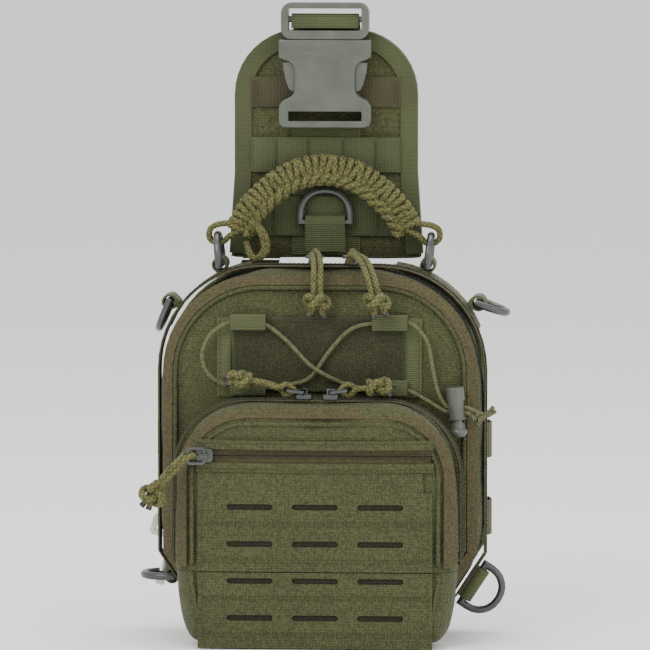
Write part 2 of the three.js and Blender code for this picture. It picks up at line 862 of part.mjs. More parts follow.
function sideReleaseBuckle() {
  const rear = webFrontY - WEB - GAP;
  const [y0, y1] = [rear - buckle.depth, rear];
  const mid = (y0 + y1) / 2;
  const at = (geometry) => geometry.translate(0, 0, buckleZ);
  const cavity = buckle.depth / 2 - buckle.wall;
  const slotHalf = buckle.slot / 2;
  const webSlot = block(-slotHalf, slotHalf, y0 - 1, y1 + 1, 4.5, buckle.keyholeZ - 1);
  const socket = block(
    -buckle.width / 2 + buckle.wall,
    buckle.width / 2 - buckle.wall,
    mid - cavity,
    mid + cavity,
    buckle.keyholeZ + 4,
    buckle.height + 5,
  );
  node(
    "buckle_socket",
    at(cut(slab(socketOutline(), y0, y1, 0, 4), webSlot, socket)),
    plastic,
  );

  // The plug: a frame with a webbing bar above the socket, and a guide tongue inside it.
  const frameLow = buckle.height + GAP;
  const frameMid = frameLow + buckle.frameTop / 2;
  const frame = slab(
    roundedRect(buckle.width - 3, buckle.frameTop, 7, 0, frameMid),
    y0 + 0.5,
    y1 - 0.5,
    0,
    4,
  );
  const opening = block(
    -slotHalf,
    slotHalf,
    y0 - 1,
    y1 + 1,
    frameLow + 6,
    frameLow + buckle.frameTop - 4,
  );
  const barZ = frameLow + buckle.frameTop / 2 + 1;
  const bar = new THREE.CylinderGeometry(2.2, 2.2, buckle.slot + 4, 12)
    .rotateZ(Math.PI / 2)
    .translate(0, mid, barZ);
  const tongue = block(-8, 8, mid - cavity + GAP, mid + cavity - GAP, 26, frameLow + 3);
  node("buckle_plug", at(joined(cut(frame, opening), bar, tongue)), plastic);

  for (const [name, side] of [["left", -1], ["right", 1]]) {
    const prong = slab(prongShape(side), mid - cavity + GAP, mid + cavity - GAP, 0, 5);
    node(`buckle_prong_${name}`, at(prong), plastic);
  }

  // Webbing over the plug's bar: a short end in front, and a tail that falls behind the panel.
  const [inner, outer] = [2.2 + GAP, 2.2 + GAP + WEB];
  const tailY = strapY + GAP - mid;
  const topBend = 9;
  const wrap = new THREE.Shape();
  wrap.moveTo(-outer, -6);
  wrap.lineTo(-inner, -6);
  wrap.lineTo(-inner, 0);
  wrap.absarc(0, 0, inner, Math.PI, Math.PI / 3, true);
  wrap.lineTo(tailY, -topBend + 1);
  wrap.lineTo(tailY, -tailLength);
  wrap.lineTo(tailY + WEB, -tailLength);
  wrap.lineTo(tailY + WEB, -topBend + 2);
  wrap.lineTo(outer * 0.5, outer * 0.87);
  wrap.absarc(0, 0, outer, Math.PI / 3, Math.PI, false);
  node("adjuster_webbing", at(alongX(wrap, STRAP_WEB - 1).translate(0, mid, barZ)), webbing);
}

// ---------- sling webbing behind the bag, with a snap hook on the lower left ring ----------
const slingY = strapY + 2 * GAP + WEB;
const slingTop = new THREE.Vector2(0, strapTopZ - 12);
const hookOut = tabOuter + 0.2 * (sideAt(leftZ + hook.shank) - sideAt(leftZ)) + 0.722;
const hookAt = new THREE.Vector3(
  lowerLeft[0] - hookOut,
  lowerLeft[1] + (ring.inner + ring.wire) / 2 - 0.3,
  lowerLeft[2],
);
const slingTurn = Math.atan2(hookAt.x - slingTop.x, slingTop.y - hookAt.z);

// A band of webbing in the sling's slanted frame: u across it, w down from its top, y through it.
function slingBand(width, down0, down1, y0 = slingY) {
  const band = block(-width / 2, width / 2, y0, y0 + WEB, -down1, -down0);
  return band.rotateY(-slingTurn).translate(slingTop.x, 0, slingTop.y);
}

function slingWebbing() {
  const whole = slingTop.distanceTo(new THREE.Vector2(hookAt.x, hookAt.z));
  const eyeDown = whole - hook.shank - 13;
  const line = strapFootZ - 1;
  const above = block(-FAR, FAR, -FAR, FAR, line + 0.5, 2 * FAR);
  const below = block(-FAR, FAR, -FAR, FAR, -FAR, line - 0.5);
  const upper = slingBand(WEB_WIDTH + 1, 0, whole * 0.6);
  node("strap_webbing_rear", kept(upper, above), webbing);
  node("sling_webbing", kept(slingBand(WEB_WIDTH + 1, whole * 0.3, eyeDown), below), webbing);
}

// The hook in the sling's slanted frame: an eye for the webbing, a swivel neck and a J open towards -Y.
function snapHook() {
  const seat = groupAt(bag, hookAt.toArray(), [0, -slingTurn, 0]);
  const { inner, thick, deep, shank, eyeBar } = hook;
  const outer = inner + thick;
  const bow = new THREE.Shape();
  bow.moveTo(outer, 0);
  bow.lineTo(outer, shank);
  bow.lineTo(inner, shank);
  bow.lineTo(inner, 0);
  bow.absarc(0, 0, inner, 0, -Math.PI * 0.95, true);
  bow.absarc(0, 0, outer, -Math.PI * 0.95, 0, false);
  const neckY = (inner + outer) / 2;
  const neck = new THREE.CylinderGeometry(2.4, 2.4, 6, 10)
    .rotateX(Math.PI / 2)
    .translate(0, neckY, shank + 2);
  const frameOuter = roundedRect(WEB_WIDTH + 12, 15, 3, 0, shank + 4 + 7.5);
  frameOuter.holes.push(roundedRect(WEB_WIDTH + 4, 15 - 2 * eyeBar, 1.5, 0, shank + 4 + 7.5));
  const rear = slingY + WEB + GAP - hookAt.y;
  const eye = slab(frameOuter, rear, rear + eyeBar, 0, 3);
  const link = block(-4, 4, neckY - 2, rear + eyeBar, shank + 1, shank + 6);
  node("snap_hook", joined(alongX(bow, deep, 8), neck, eye, link), metal, seat);

  // The gate closes the mouth from the shank's top down to the J's tip.
  const gate = new THREE.Shape();
  gate.moveTo(-outer + 0.5, 0.9);
  gate.lineTo(-outer + 0.5 + hook.gateThick, 0.9);
  gate.lineTo(inner - 2 * GAP, shank - 4);
  gate.lineTo(inner - 2 * GAP, shank - 1);
  gate.lineTo(inner - 3, shank - 1);
  node("hook_gate", alongX(gate, deep - 1, 4), metal, seat);
}

rearShell();
frontShell();
backPanel();
mainZipTapes();
frontPocket();
molleFace();
faceZip();
zipPulls();
patchAndLoops();
laceAndLock();
rings();
braidedHandle();
strapPanel();
strapRow("strap_row_lower", strapFootZ + 16, strapFootZ + 44, 54);
strapRow("strap_row_upper", strapFootZ + 60, strapFootZ + 84, 51);
strapRing();
sideReleaseBuckle();
slingWebbing();
snapHook();

export default bag;
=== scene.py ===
"""Sling bag: the finished surfaces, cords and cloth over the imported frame, in metres, +Z up, front to -Y."""
from __future__ import annotations

import logging
import math
from dataclasses import dataclass, field
from enum import Enum
from typing import Callable, Sequence

import bpy
from mathutils import Matrix, Vector, noise

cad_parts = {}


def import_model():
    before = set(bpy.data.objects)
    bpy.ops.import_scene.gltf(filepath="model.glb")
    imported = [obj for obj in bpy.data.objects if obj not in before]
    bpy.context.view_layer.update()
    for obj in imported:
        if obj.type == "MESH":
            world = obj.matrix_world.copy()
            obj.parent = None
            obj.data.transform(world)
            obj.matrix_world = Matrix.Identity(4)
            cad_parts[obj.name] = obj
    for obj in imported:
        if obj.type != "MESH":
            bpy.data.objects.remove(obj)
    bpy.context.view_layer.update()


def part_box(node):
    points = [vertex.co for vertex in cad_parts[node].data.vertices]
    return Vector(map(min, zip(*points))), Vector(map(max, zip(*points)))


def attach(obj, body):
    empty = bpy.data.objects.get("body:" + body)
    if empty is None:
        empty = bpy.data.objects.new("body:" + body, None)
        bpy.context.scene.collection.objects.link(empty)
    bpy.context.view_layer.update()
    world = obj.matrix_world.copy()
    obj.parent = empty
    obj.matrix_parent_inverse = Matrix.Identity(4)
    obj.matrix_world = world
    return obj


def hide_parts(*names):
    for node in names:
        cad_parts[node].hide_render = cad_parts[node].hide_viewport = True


LOG = logging.getLogger("sling_bag")
MM = 0.001
Point = tuple[float, float, float]


class Run(Enum):
    """The way a webbing's length runs, as turns of its ribs about X, Y and Z."""

    UPRIGHT = (0.0, 0.0, 0.0)
    ACROSS = (0.0, math.pi / 2, 0.0)
    SLANTED = (0.0, -0.302, 0.0)
    FRONT_TO_BACK = (math.pi / 2, 0.0, 0.0)


# ---------------------------------------------------------------- finishes


class NodeBoard:
    """A material's node tree, with short calls for the nodes the finishes share."""

    def __init__(self, name: str) -> None:
        """Start a material with a Principled shader.

        Args:
            name: the material's name.
        """
        self.material = bpy.data.materials.new(name)
        self.material.use_nodes = True
        self.tree = self.material.node_tree
        self.shader = self.tree.nodes["Principled BSDF"]

    def node(self, kind: str, **values: object) -> bpy.types.Node:
        """Add a node and set its plain properties.

        Args:
            kind: the node's type name.
            values: properties to set on it.

        Returns:
            The new node.
        """
        made = self.tree.nodes.new(kind)
        for key, value in values.items():
            setattr(made, key, value)
        return made

    def link(self, source: bpy.types.NodeSocket, target: bpy.types.NodeSocket) -> None:
        """Join two sockets."""
        self.tree.links.new(source, target)

    def place(self, turn: Point = (0, 0, 0), scale: Point = (1, 1, 1), uv: bool = False) -> bpy.types.NodeSocket:
        """Coordinates for a pattern, from the object or from its UV map.

        Args:
            turn: rotation of the pattern.
            scale: scale of the pattern.
            uv: read the UV map and not the object's own coordinates.

        Returns:
            The mapped vector socket.
        """
        source = self.node("ShaderNodeTexCoord").outputs["UV" if uv else "Object"]
        mapping = self.node("ShaderNodeMapping")
        mapping.inputs["Rotation"].default_value = turn
        mapping.inputs["Scale"].default_value = scale
        self.link(source, mapping.inputs["Vector"])
        return mapping.outputs["Vector"]

    def wave(self, vector: bpy.types.NodeSocket, scale: float, direction: str, warp: float = 0.0) -> bpy.types.NodeSocket:
        """A band pattern.

        Args:
            vector: its coordinates.
            scale: its frequency, in Blender's wave units per metre.
            direction: X, Y, Z or DIAGONAL.
            warp: how much noise bends the bands.

        Returns:
            The factor socket.
        """
        made = self.node("ShaderNodeTexWave", bands_direction=direction)
        made.inputs["Scale"].default_value = scale
        made.inputs["Distortion"].default_value = warp
        made.inputs["Detail Scale"].default_value = 2.0
        self.link(vector, made.inputs["Vector"])
        return made.outputs["Fac"]

    def grain(self, vector: bpy.types.NodeSocket, scale: float, detail: float = 3.0) -> bpy.types.NodeSocket:
        """A noise pattern's factor.

        Args:
            vector: its coordinates.
            scale: its frequency per metre.
            detail: octaves of detail.

        Returns:
            The factor socket.
        """
        made = self.node("ShaderNodeTexNoise")
        made.inputs["Scale"].default_value = scale
        made.inputs["Detail"].default_value = detail
        self.link(vector, made.inputs["Vector"])
        return made.outputs["Fac"]

    def math(self, operation: str, a: bpy.types.NodeSocket, b: bpy.types.NodeSocket | float) -> bpy.types.NodeSocket:
        """Combine two values.

        Args:
            operation: Blender's name for it.
            a: the first value.
            b: the second value, a socket or a number.

        Returns:
            The result's socket.
        """
        made = self.node("ShaderNodeMath", operation=operation)
        self.link(a, made.inputs[0])
        if isinstance(b, (int, float)):
            made.inputs[1].default_value = b
        else:
            self.link(b, made.inputs[1])
        return made.outputs[0]

    def colours(self, factor: bpy.types.NodeSocket, low: Point, high: Point, start: float = 0.0, end: float = 1.0) -> bpy.types.NodeSocket:
        """A ramp between two colours.

        Args:
            factor: what drives the ramp.
            low: the colour at start.
            high: the colour at end.
            start: where the ramp starts.
            end: where it ends.

        Returns:
            The colour socket.
        """
        ramp = self.node("ShaderNodeValToRGB")
        ramp.color_ramp.elements[0].position = start
        ramp.color_ramp.elements[1].position = end
        ramp.color_ramp.elements[0].color = (*low, 1)
        ramp.color_ramp.elements[1].color = (*high, 1)
        self.link(factor, ramp.inputs["Fac"])
        return ramp.outputs["Color"]

    def blend(self, factor: bpy.types.NodeSocket | float, a: bpy.types.NodeSocket, b: bpy.types.NodeSocket, mode: str = "MIX") -> bpy.types.NodeSocket:
        """Mix two colours.

        Args:
            factor: how much of b.
            a: the first colour.
            b: the second colour.
            mode: the mix's mode.

        Returns:
            The colour socket.
        """
        mix = self.node("ShaderNodeMix", data_type="RGBA", blend_type=mode)
        if isinstance(factor, (int, float)):
            mix.inputs[0].default_value = factor
        else:
            self.link(factor, mix.inputs[0])
        self.link(a, mix.inputs[6])
        self.link(b, mix.inputs[7])
        return mix.outputs[2]

    def relief(self, height: bpy.types.NodeSocket, depth: float, strength: float = 1.0) -> None:
        """Drive the shader's normal from a height.

        Args:
            height: the height pattern.
            depth: its depth in metres.
            strength: the bump's strength.
        """
        bump = self.node("ShaderNodeBump")
        bump.inputs["Strength"].default_value = strength
        bump.inputs["Distance"].default_value = depth
        self.link(height, bump.inputs["Height"])
        self.link(bump.outputs["Normal"], self.shader.inputs["Normal"])

    def gloss(self, roughness: float, metallic: float = 0.0, sheen: float = 0.0, specular: float = 0.5) -> None:
        """Set the shader's even values.

        Args:
            roughness: how dull the surface is.
            metallic: how metallic it is.
            sheen: the fabric's sheen.
            specular: the specular level.
        """
        self.shader.inputs["Roughness"].default_value = roughness
        self.shader.inputs["Metallic"].default_value = metallic
        self.shader.inputs["Sheen Weight"].default_value = sheen
        self.shader.inputs["Specular IOR Level"].default_value = specular


def shade(colour: Point, factor: float) -> Point:
    """A colour made lighter or darker.

    Args:
        colour: the linear colour.
        factor: what it is multiplied by.

    Returns:
        The new colour.
    """
    return tuple(min(c * factor, 1.0) for c in colour)


@dataclass(frozen=True)
class TwillCloth:
    """Heavy nylon cloth with a slanted weave, a little uneven in colour."""

    name: str
    colour: Point
    pitch: float = 1.5 * MM
    depth: float = 0.34 * MM

    def make(self) -> bpy.types.Material:
        """Build the material.

        Returns:
            The material.
        """
        board = NodeBoard(self.name)
        vector = board.place()
        waves = 2 * math.pi / self.pitch / 20
        weave = board.wave(board.place(turn=(0.4, 0.75, 0.3)), waves, "X", 0.8)
        cross = board.wave(vector, waves * 0.8, "Z", 0.6)
        yarn = board.math("ADD", weave, board.math("MULTIPLY", cross, 0.6))
        fleck = board.grain(vector, 620, 3)
        cloudy = board.grain(vector, 16, 4)
        base = board.colours(yarn, shade(self.colour, 0.62), shade(self.colour, 1.28), 0.15, 1.25)
        worn = board.colours(cloudy, shade(self.colour, 0.82), shade(self.colour, 1.18), 0.3, 0.75)
        specks = board.colours(fleck, (0.50, 0.50, 0.50), (1.62, 1.60, 1.52), 0.30, 0.70)
        tone = board.blend(0.4, base, worn)
        board.link(board.blend(0.75, tone, specks, "MULTIPLY"), board.shader.inputs["Base Color"])
        height = board.math("ADD", yarn, board.math("MULTIPLY", fleck, 0.8))
        board.relief(height, self.depth)
        board.gloss(0.86, sheen=0.06, specular=0.28)
        return board.material


@dataclass(frozen=True)
class RibbedWebbing:
    """Woven webbing with close ribs across it and a fine warp along it."""

    name: str
    colour: Point
    run: Run
    pitch: float = 1.25 * MM

    def make(self) -> bpy.types.Material:
        """Build the material.

        Returns:
            The material.
        """
        board = NodeBoard(self.name)
        vector = board.place(turn=self.run.value)
        waves = 2 * math.pi / self.pitch / 20
        ribs = board.wave(vector, waves, "Z", 0.25)
        warp = board.wave(vector, waves * 0.8, "X", 0.3)
        both = board.math("ADD", ribs, board.math("MULTIPLY", warp, 0.45))
        cloudy = board.grain(vector, 30, 3)
        base = board.colours(both, shade(self.colour, 0.55), shade(self.colour, 1.3), 0.1, 1.2)
        worn = board.colours(cloudy, (0.85, 0.85, 0.85), (1.14, 1.14, 1.1), 0.3, 0.7)
        board.link(board.blend(0.8, base, worn, "MULTIPLY"), board.shader.inputs["Base Color"])
        board.relief(both, 0.32 * MM)
        board.gloss(0.72, sheen=0.05, specular=0.35)
        return board.material


@dataclass(frozen=True)
class BraidedCord:
    """Round braided cord: two crossing sets of slanted strands that follow the cord."""

    name: str
    colour: Point
    fleck: Point
    lay: float = 3.4 * MM

    def make(self) -> bpy.types.Material:
        """Build the material; u runs along the cord in metres and v once round it.

        Returns:
            The material.
        """
        board = NodeBoard(self.name)
        turns = 4.0
        period = 1.0 / self.lay
        one = board.place(scale=(period, turns, 1), uv=True)
        split = board.node("ShaderNodeSeparateXYZ")
        board.link(one, split.inputs[0])
        along, around = split.outputs["X"], split.outputs["Y"]
        right = board.math("SINE", board.math("MULTIPLY", board.math("ADD", along, around), 2 * math.pi), 0.0)
        left = board.math("SINE", board.math("MULTIPLY", board.math("SUBTRACT", along, around), 2 * math.pi), 0.0)
        braid = board.math("MULTIPLY", right, left)
        top = board.math("MAXIMUM", right, left)
        height = board.math("ADD", board.math("MULTIPLY", top, 0.6), board.math("MULTIPLY", braid, 0.4))
        tone = board.colours(height, shade(self.colour, 0.5), shade(self.colour, 1.25), 0.0, 0.95)
        spots = board.grain(board.place(), 420, 2)
        dark = board.colours(spots, self.fleck, (1.15, 1.15, 1.05), 0.36, 0.52)
        board.link(board.blend(0.85, tone, dark, "MULTIPLY"), board.shader.inputs["Base Color"])
        board.relief(height, 0.30 * MM)
        board.gloss(0.66, sheen=0.08, specular=0.35)
        return board.material


@dataclass(frozen=True)
class LoopPile:
    """Fuzzy loop fabric."""

    name: str
    colour: Point

    def make(self) -> bpy.types.Material:
        """Build the material.

        Returns:
            The material.
        """
        board = NodeBoard(self.name)
        vector = board.place()
        cell = board.node("ShaderNodeTexVoronoi")
        cell.inputs["Scale"].default_value = 900
        board.link(vector, cell.inputs["Vector"])
        fuzz = board.math("ADD", cell.outputs["Distance"], board.grain(vector, 1500, 4))
        cloudy = board.grain(vector, 60, 4)
        tone = board.colours(fuzz, shade(self.colour, 1.35), shade(self.colour, 0.5), 0.5, 1.3)
        worn = board.colours(cloudy, (0.8, 0.8, 0.8), (1.15, 1.15, 1.1), 0.3, 0.7)
        board.link(board.blend(0.8, tone, worn, "MULTIPLY"), board.shader.inputs["Base Color"])
        board.relief(fuzz, 0.5 * MM)
        board.gloss(0.95, sheen=0.25, specular=0.15)
        return board.material


@dataclass(frozen=True)
class Hardware:
    """Moulded plastic or coated metal, with fine grain and patchy tone and roughness."""

    name: str
    colour: Point
    roughness: float
    metallic: float = 0.0

    def make(self) -> bpy.types.Material:
        """Build the material.

        Returns:
            The material.
        """
        board = NodeBoard(self.name)
        vector = board.place()
        fine = board.grain(vector, 1400, 3)
        broad = board.grain(vector, 90, 4)
        tone = board.colours(broad, shade(self.colour, 0.86), shade(self.colour, 1.16), 0.3, 0.7)
        board.link(tone, board.shader.inputs["Base Color"])
        rough = board.math("ADD", board.math("MULTIPLY", broad, 0.16), self.roughness - 0.08)
        board.link(rough, board.shader.inputs["Roughness"])
        board.relief(fine, 0.05 * MM, 0.5)
        board.shader.inputs["Metallic"].default_value = self.metallic
        return board.material


@dataclass(frozen=True)
class Thread:
    """Sewing thread."""

    name: str
    colour: Point

    def make(self) -> bpy.types.Material:
        """Build the material.

        Returns:
            The material.
        """
        board = NodeBoard(self.name)
        twist = board.wave(board.place(), 900, "DIAGONAL", 0.3)
        tone = board.colours(twist, shade(self.colour, 0.7), shade(self.colour, 1.2))
        board.link(tone, board.shader.inputs["Base Color"])
        board.gloss(0.7, specular=0.3)
        return board.material


class Palette:
    """Every finish of the bag, and the painted shade for the face's slots, made once."""

    def __init__(self) -> None:
        """Build the materials."""
        olive = (0.052, 0.056, 0.0225)
        web = (0.060, 0.070, 0.026)
        cord = (0.118, 0.114, 0.030)
        self.cloth = TwillCloth("olive_cloth", olive).make()
        self.lining = TwillCloth("lining_cloth", shade(olive, 0.7), 1.2 * MM, 0.1 * MM).make()
        self.tape = TwillCloth("zip_tape_cloth", (0.056, 0.048, 0.020), 0.9 * MM, 0.16 * MM).make()
        self.binding = RibbedWebbing("edge_binding", shade(web, 1.05), Run.UPRIGHT, 0.9 * MM).make()
        self.web_up = RibbedWebbing("webbing_upright", web, Run.UPRIGHT).make()
        self.web_across = RibbedWebbing("webbing_across", shade(web, 0.92), Run.ACROSS).make()
        self.web_slant = RibbedWebbing("webbing_slanted", web, Run.SLANTED).make()
        self.web_light = RibbedWebbing("webbing_light", shade(web, 1.25), Run.UPRIGHT).make()
        self.cord = BraidedCord("pull_cord_braid", cord, (0.5, 0.5, 0.35)).make()
        self.elastic = BraidedCord("elastic_braid", (0.125, 0.125, 0.055), (0.6, 0.6, 0.5), 2.2 * MM).make()
        self.pile = LoopPile("loop_pile", (0.050, 0.053, 0.023)).make()
        self.plastic = Hardware("moulded_plastic", (0.075, 0.083, 0.064), 0.36).make()
        self.black = Hardware("black_plastic", (0.020, 0.021, 0.019), 0.40).make()
        self.coil = Hardware("zip_coil", (0.030, 0.027, 0.013), 0.45).make()
        self.metal = Hardware("dark_metal", (0.085, 0.090, 0.086), 0.33, 0.75).make()
        self.steel = Hardware("bright_metal", (0.50, 0.50, 0.49), 0.30, 0.9).make()
        self.thread = Thread("olive_thread", shade(web, 0.8)).make()
        # painted shade: near-black cloth that stands for the shade inside the face's slots
        self.dark = TwillCloth("slot_painted_shade", shade(olive, 0.22), 1.0 * MM, 0.08 * MM).make()
        self.mesh = LoopPile("spacer_mesh", (0.052, 0.056, 0.030)).make()
        self.band = RibbedWebbing("elastic_band_web", (0.052, 0.047, 0.020), Run.ACROSS, 1.0 * MM).make()
        self.burnt = Hardware("melted_cord_end", (0.015, 0.014, 0.012), 0.35).make()


# ---------------------------------------------------------------- modelling tools


def deselect_all() -> None:
    """Leave object mode with nothing selected."""
    if bpy.context.object and bpy.context.object.mode != "OBJECT":
        bpy.ops.object.mode_set(mode="OBJECT")
    bpy.ops.object.select_all(action="DESELECT")


def pick(piece: bpy.types.Object) -> None:
    """Make a piece the only selected and active one.

    Args:
        piece: the object.
    """
    deselect_all()
    piece.select_set(True)
    bpy.context.view_layer.objects.active = piece


def apply_modifiers(piece: bpy.types.Object) -> None:
    """Apply every modifier of a piece.

    Args:
        piece: the object.
    """
    pick(piece)
    for modifier in list(piece.modifiers):
        bpy.ops.object.modifier_apply(modifier=modifier.name)


def settle(piece: bpy.types.Object, material: bpy.types.Material, body: str, angle: float = 40.0) -> bpy.types.Object:
    """Finish a piece: its place in its mesh, its shading, its material and the body it rides on.

    Args:
        piece: the object.
        material: its finish.
        body: the body it moves with.
        angle: edges sharper than this many degrees stay sharp.

    Returns:
        The piece.
    """
    pick(piece)
    bpy.ops.object.transform_apply(location=True, rotation=True, scale=True)
    bpy.ops.object.shade_smooth_by_angle(angle=math.radians(angle))
    if not piece.data.materials:
        piece.data.materials.append(material)
    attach(piece, body)
    return piece


def softened(node: str, material: bpy.types.Material, body: str, bevel: float = 0.5 * MM, segments: int = 2) -> bpy.types.Object:
    """A finished copy of a CAD node, with its flat faces joined up and its edges rounded.

    Args:
        node: the node's name.
        material: its finish.
        body: the body it moves with.
        bevel: radius of the rounded edges.
        segments: steps of the rounding.

    Returns:
        The copy, which replaces the node.
    """
    deselect_all()
    source = bpy.data.objects[node]
    copy = source.copy()
    copy.data = source.data.copy()
    copy.name = node + "_finished"
    copy.data.materials.clear()
    copy.parent = None
    bpy.context.collection.objects.link(copy)
    pick(copy)
    bpy.ops.object.mode_set(mode="EDIT")
    bpy.ops.mesh.select_all(action="SELECT")
    bpy.ops.mesh.remove_doubles(threshold=0.00002)
    bpy.ops.mesh.dissolve_limited(angle_limit=math.radians(1.5))
    bpy.ops.object.mode_set(mode="OBJECT")
    if bevel > 0:
        rounding = copy.modifiers.new("Rounding", "BEVEL")
        rounding.width = bevel
        rounding.segments = segments
        rounding.limit_method = "ANGLE"
        rounding.angle_limit = math.radians(28)
        rounding.use_clamp_overlap = True
        apply_modifiers(copy)
    settle(copy, material, body, 35)
    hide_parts(node)
    return copy


def spline_points(route: Sequence[Point], step: float) -> list[Vector]:
    """Points close together on a smooth curve through a route.

    Args:
        route: the route's points.
        step: the spacing wanted, in metres.

    Returns:
        The points, the route's ends included.
    """
    nodes = [Vector(p) for p in route]
    padded = [2 * nodes[0] - nodes[1], *nodes, 2 * nodes[-1] - nodes[-2]]
    out: list[Vector] = []
    for i in range(1, len(padded) - 2):
        a, b, c, d = padded[i - 1 : i + 3]
        count = max(2, round((c - b).length / step))
        for k in range(count):
            t = k / count
            out.append(
                0.5 * (2 * b + (c - a) * t + (2 * a - 5 * b + 4 * c - d) * t * t + (3 * b - a - 3 * c + d) * t**3)
            )
    return [*out, nodes[-1]]


def swept(name: str, path: Sequence[Vector], section: Sequence[tuple[float, float]], closed: bool = False, up: Vector | None = None) -> bpy.types.Object:
    """A closed section carried along a path, with a UV map: u in metres along it, v once round it.

    Args:
        name: the piece's name.
        path: the path's points.
        section: the section's points, across and up.
        closed: join the end to the start.
        up: the section's up direction; it is carried along the path without one.

    Returns:
        The piece.
    """
    count, sides = len(path), len(section)
    tangents = []
    for i in range(count):
        ahead = path[(i + 1) % count] if closed or i < count - 1 else path[i]
        behind = path[i - 1] if closed or i > 0 else path[i]
        tangents.append((ahead - behind).normalized())
    side = tangents[0].orthogonal().normalized()
    verts, length, lengths = [], 0.0, []
    for i, (point, tangent) in enumerate(zip(path, tangents)):
        if up is not None:
            side = tangent.cross(up).normalized()
        else:
            side = (side - tangent * side.dot(tangent)).normalized()
        over = side.cross(tangent).normalized()
        verts.extend(point + side * x + over * y for x, y in section)
        length += (point - path[i - 1]).length if i else 0.0
        lengths.append(length)
    loops = count if closed else count - 1
    faces = [
        (i * sides + j, i * sides + (j + 1) % sides, (i + 1) % count * sides + (j + 1) % sides, (i + 1) % count * sides + j)
        for i in range(loops)
        for j in range(sides)
    ]
    if not closed:
        faces.append(tuple(reversed(range(sides))))
        faces.append(tuple((count - 1) * sides + j for j in range(sides)))
    mesh = bpy.data.meshes.new(name)
    mesh.from_pydata([tuple(v) for v in verts], [], faces)
    layer = mesh.uv_layers.new(name="UVMap")
    lengths.append(length + (path[0] - path[-1]).length)
    for index, polygon in enumerate(mesh.polygons):
        if index >= loops * sides:
            continue
        i, j = divmod(index, sides)
        corners = ((i, j), (i, j + 1), (i + 1, j + 1), (i + 1, j))
        for loop, (a, b) in zip(polygon.loop_indices, corners):
            layer.data[loop].uv = (lengths[a], b / sides)
    piece = bpy.data.objects.new(name, mesh)
    bpy.context.collection.objects.link(piece)
    outward(piece)
    return piece


def outward(piece: bpy.types.Object) -> None:
    """Turn every face of a closed piece outwards.

    Args:
        piece: the object.
    """
    pick(piece)
    bpy.ops.object.mode_set(mode="EDIT")
    bpy.ops.mesh.select_all(action="SELECT")
    bpy.ops.mesh.normals_make_consistent(inside=False)
    bpy.ops.object.mode_set(mode="OBJECT")


def round_section(radius: float, sides: int = 10) -> list[tuple[float, float]]:
    """Points of a circle.

    Args:
        radius: its radius.
        sides: how many points.

    Returns:
        The points.
    """
    return [(radius * math.cos(2 * math.pi * k / sides), radius * math.sin(2 * math.pi * k / sides)) for k in range(sides)]


def flat_section(width: float, thick: float) -> list[tuple[float, float]]:
    """A webbing's section with rounded edges.

    Args:
        width: its width.
        thick: its thickness.

    Returns:
        The points.
    """
    w, t = width / 2, thick / 2
    edge = [(w - 0.6 * t, -t), (w, -0.4 * t), (w, 0.4 * t), (w - 0.6 * t, t)]
    return [*edge, (0, t), *[(-x, -y) for x, y in edge], (0, -t)]


def joined(name: str, pieces: Sequence[bpy.types.Object]) -> bpy.types.Object:
    """Join pieces into one object.

    Args:
        name: its name.
        pieces: the objects.

    Returns:
        The object.
    """
    deselect_all()
    for piece in pieces:
        piece.select_set(True)
    bpy.context.view_layer.objects.active = pieces[0]
    bpy.ops.object.join()
    pieces[0].name = name
    return pieces[0]


def path_curve(name: str, points: Sequence[Vector]) -> bpy.types.Object:
    """A curve object of straight steps, for a modifier or a rod to follow.

    Args:
        name: its name.
        points: the points it passes.

    Returns:
        The curve object.
    """
    data = bpy.data.curves.new(name, "CURVE")
    data.dimensions = "3D"
    data.twist_mode = "MINIMUM"
    spline = data.splines.new("POLY")
    spline.points.add(len(points) - 1)
    for target, point in zip(spline.points, points):
        target.co = (*point, 1)
    curve = bpy.data.objects.new(name, data)
    bpy.context.collection.objects.link(curve)
    return curve


def along(name: str, unit: bpy.types.Object, points: Sequence[Vector], pitch: float) -> bpy.types.Object:
    """Copies of a unit laid end to end along a path, by an array and a curve modifier.

    Args:
        name: the row's name.
        unit: the unit, its length on X from 0.
        points: the path.
        pitch: spacing of the copies.

    Returns:
        The row, one mesh.
    """
    curve = path_curve(name + "_path", points)
    row = unit.copy()
    row.data = unit.data.copy()
    row.name = name
    bpy.context.collection.objects.link(row)
    array = row.modifiers.new("Repeat", "ARRAY")
    array.fit_type = "FIT_CURVE"
    array.curve = curve
    array.use_relative_offset = False
    array.use_constant_offset = True
    array.constant_offset_displace = (pitch, 0, 0)
    bend = row.modifiers.new("Follow", "CURVE")
    bend.object = curve
    apply_modifiers(row)
    bpy.data.objects.remove(curve)
    return row


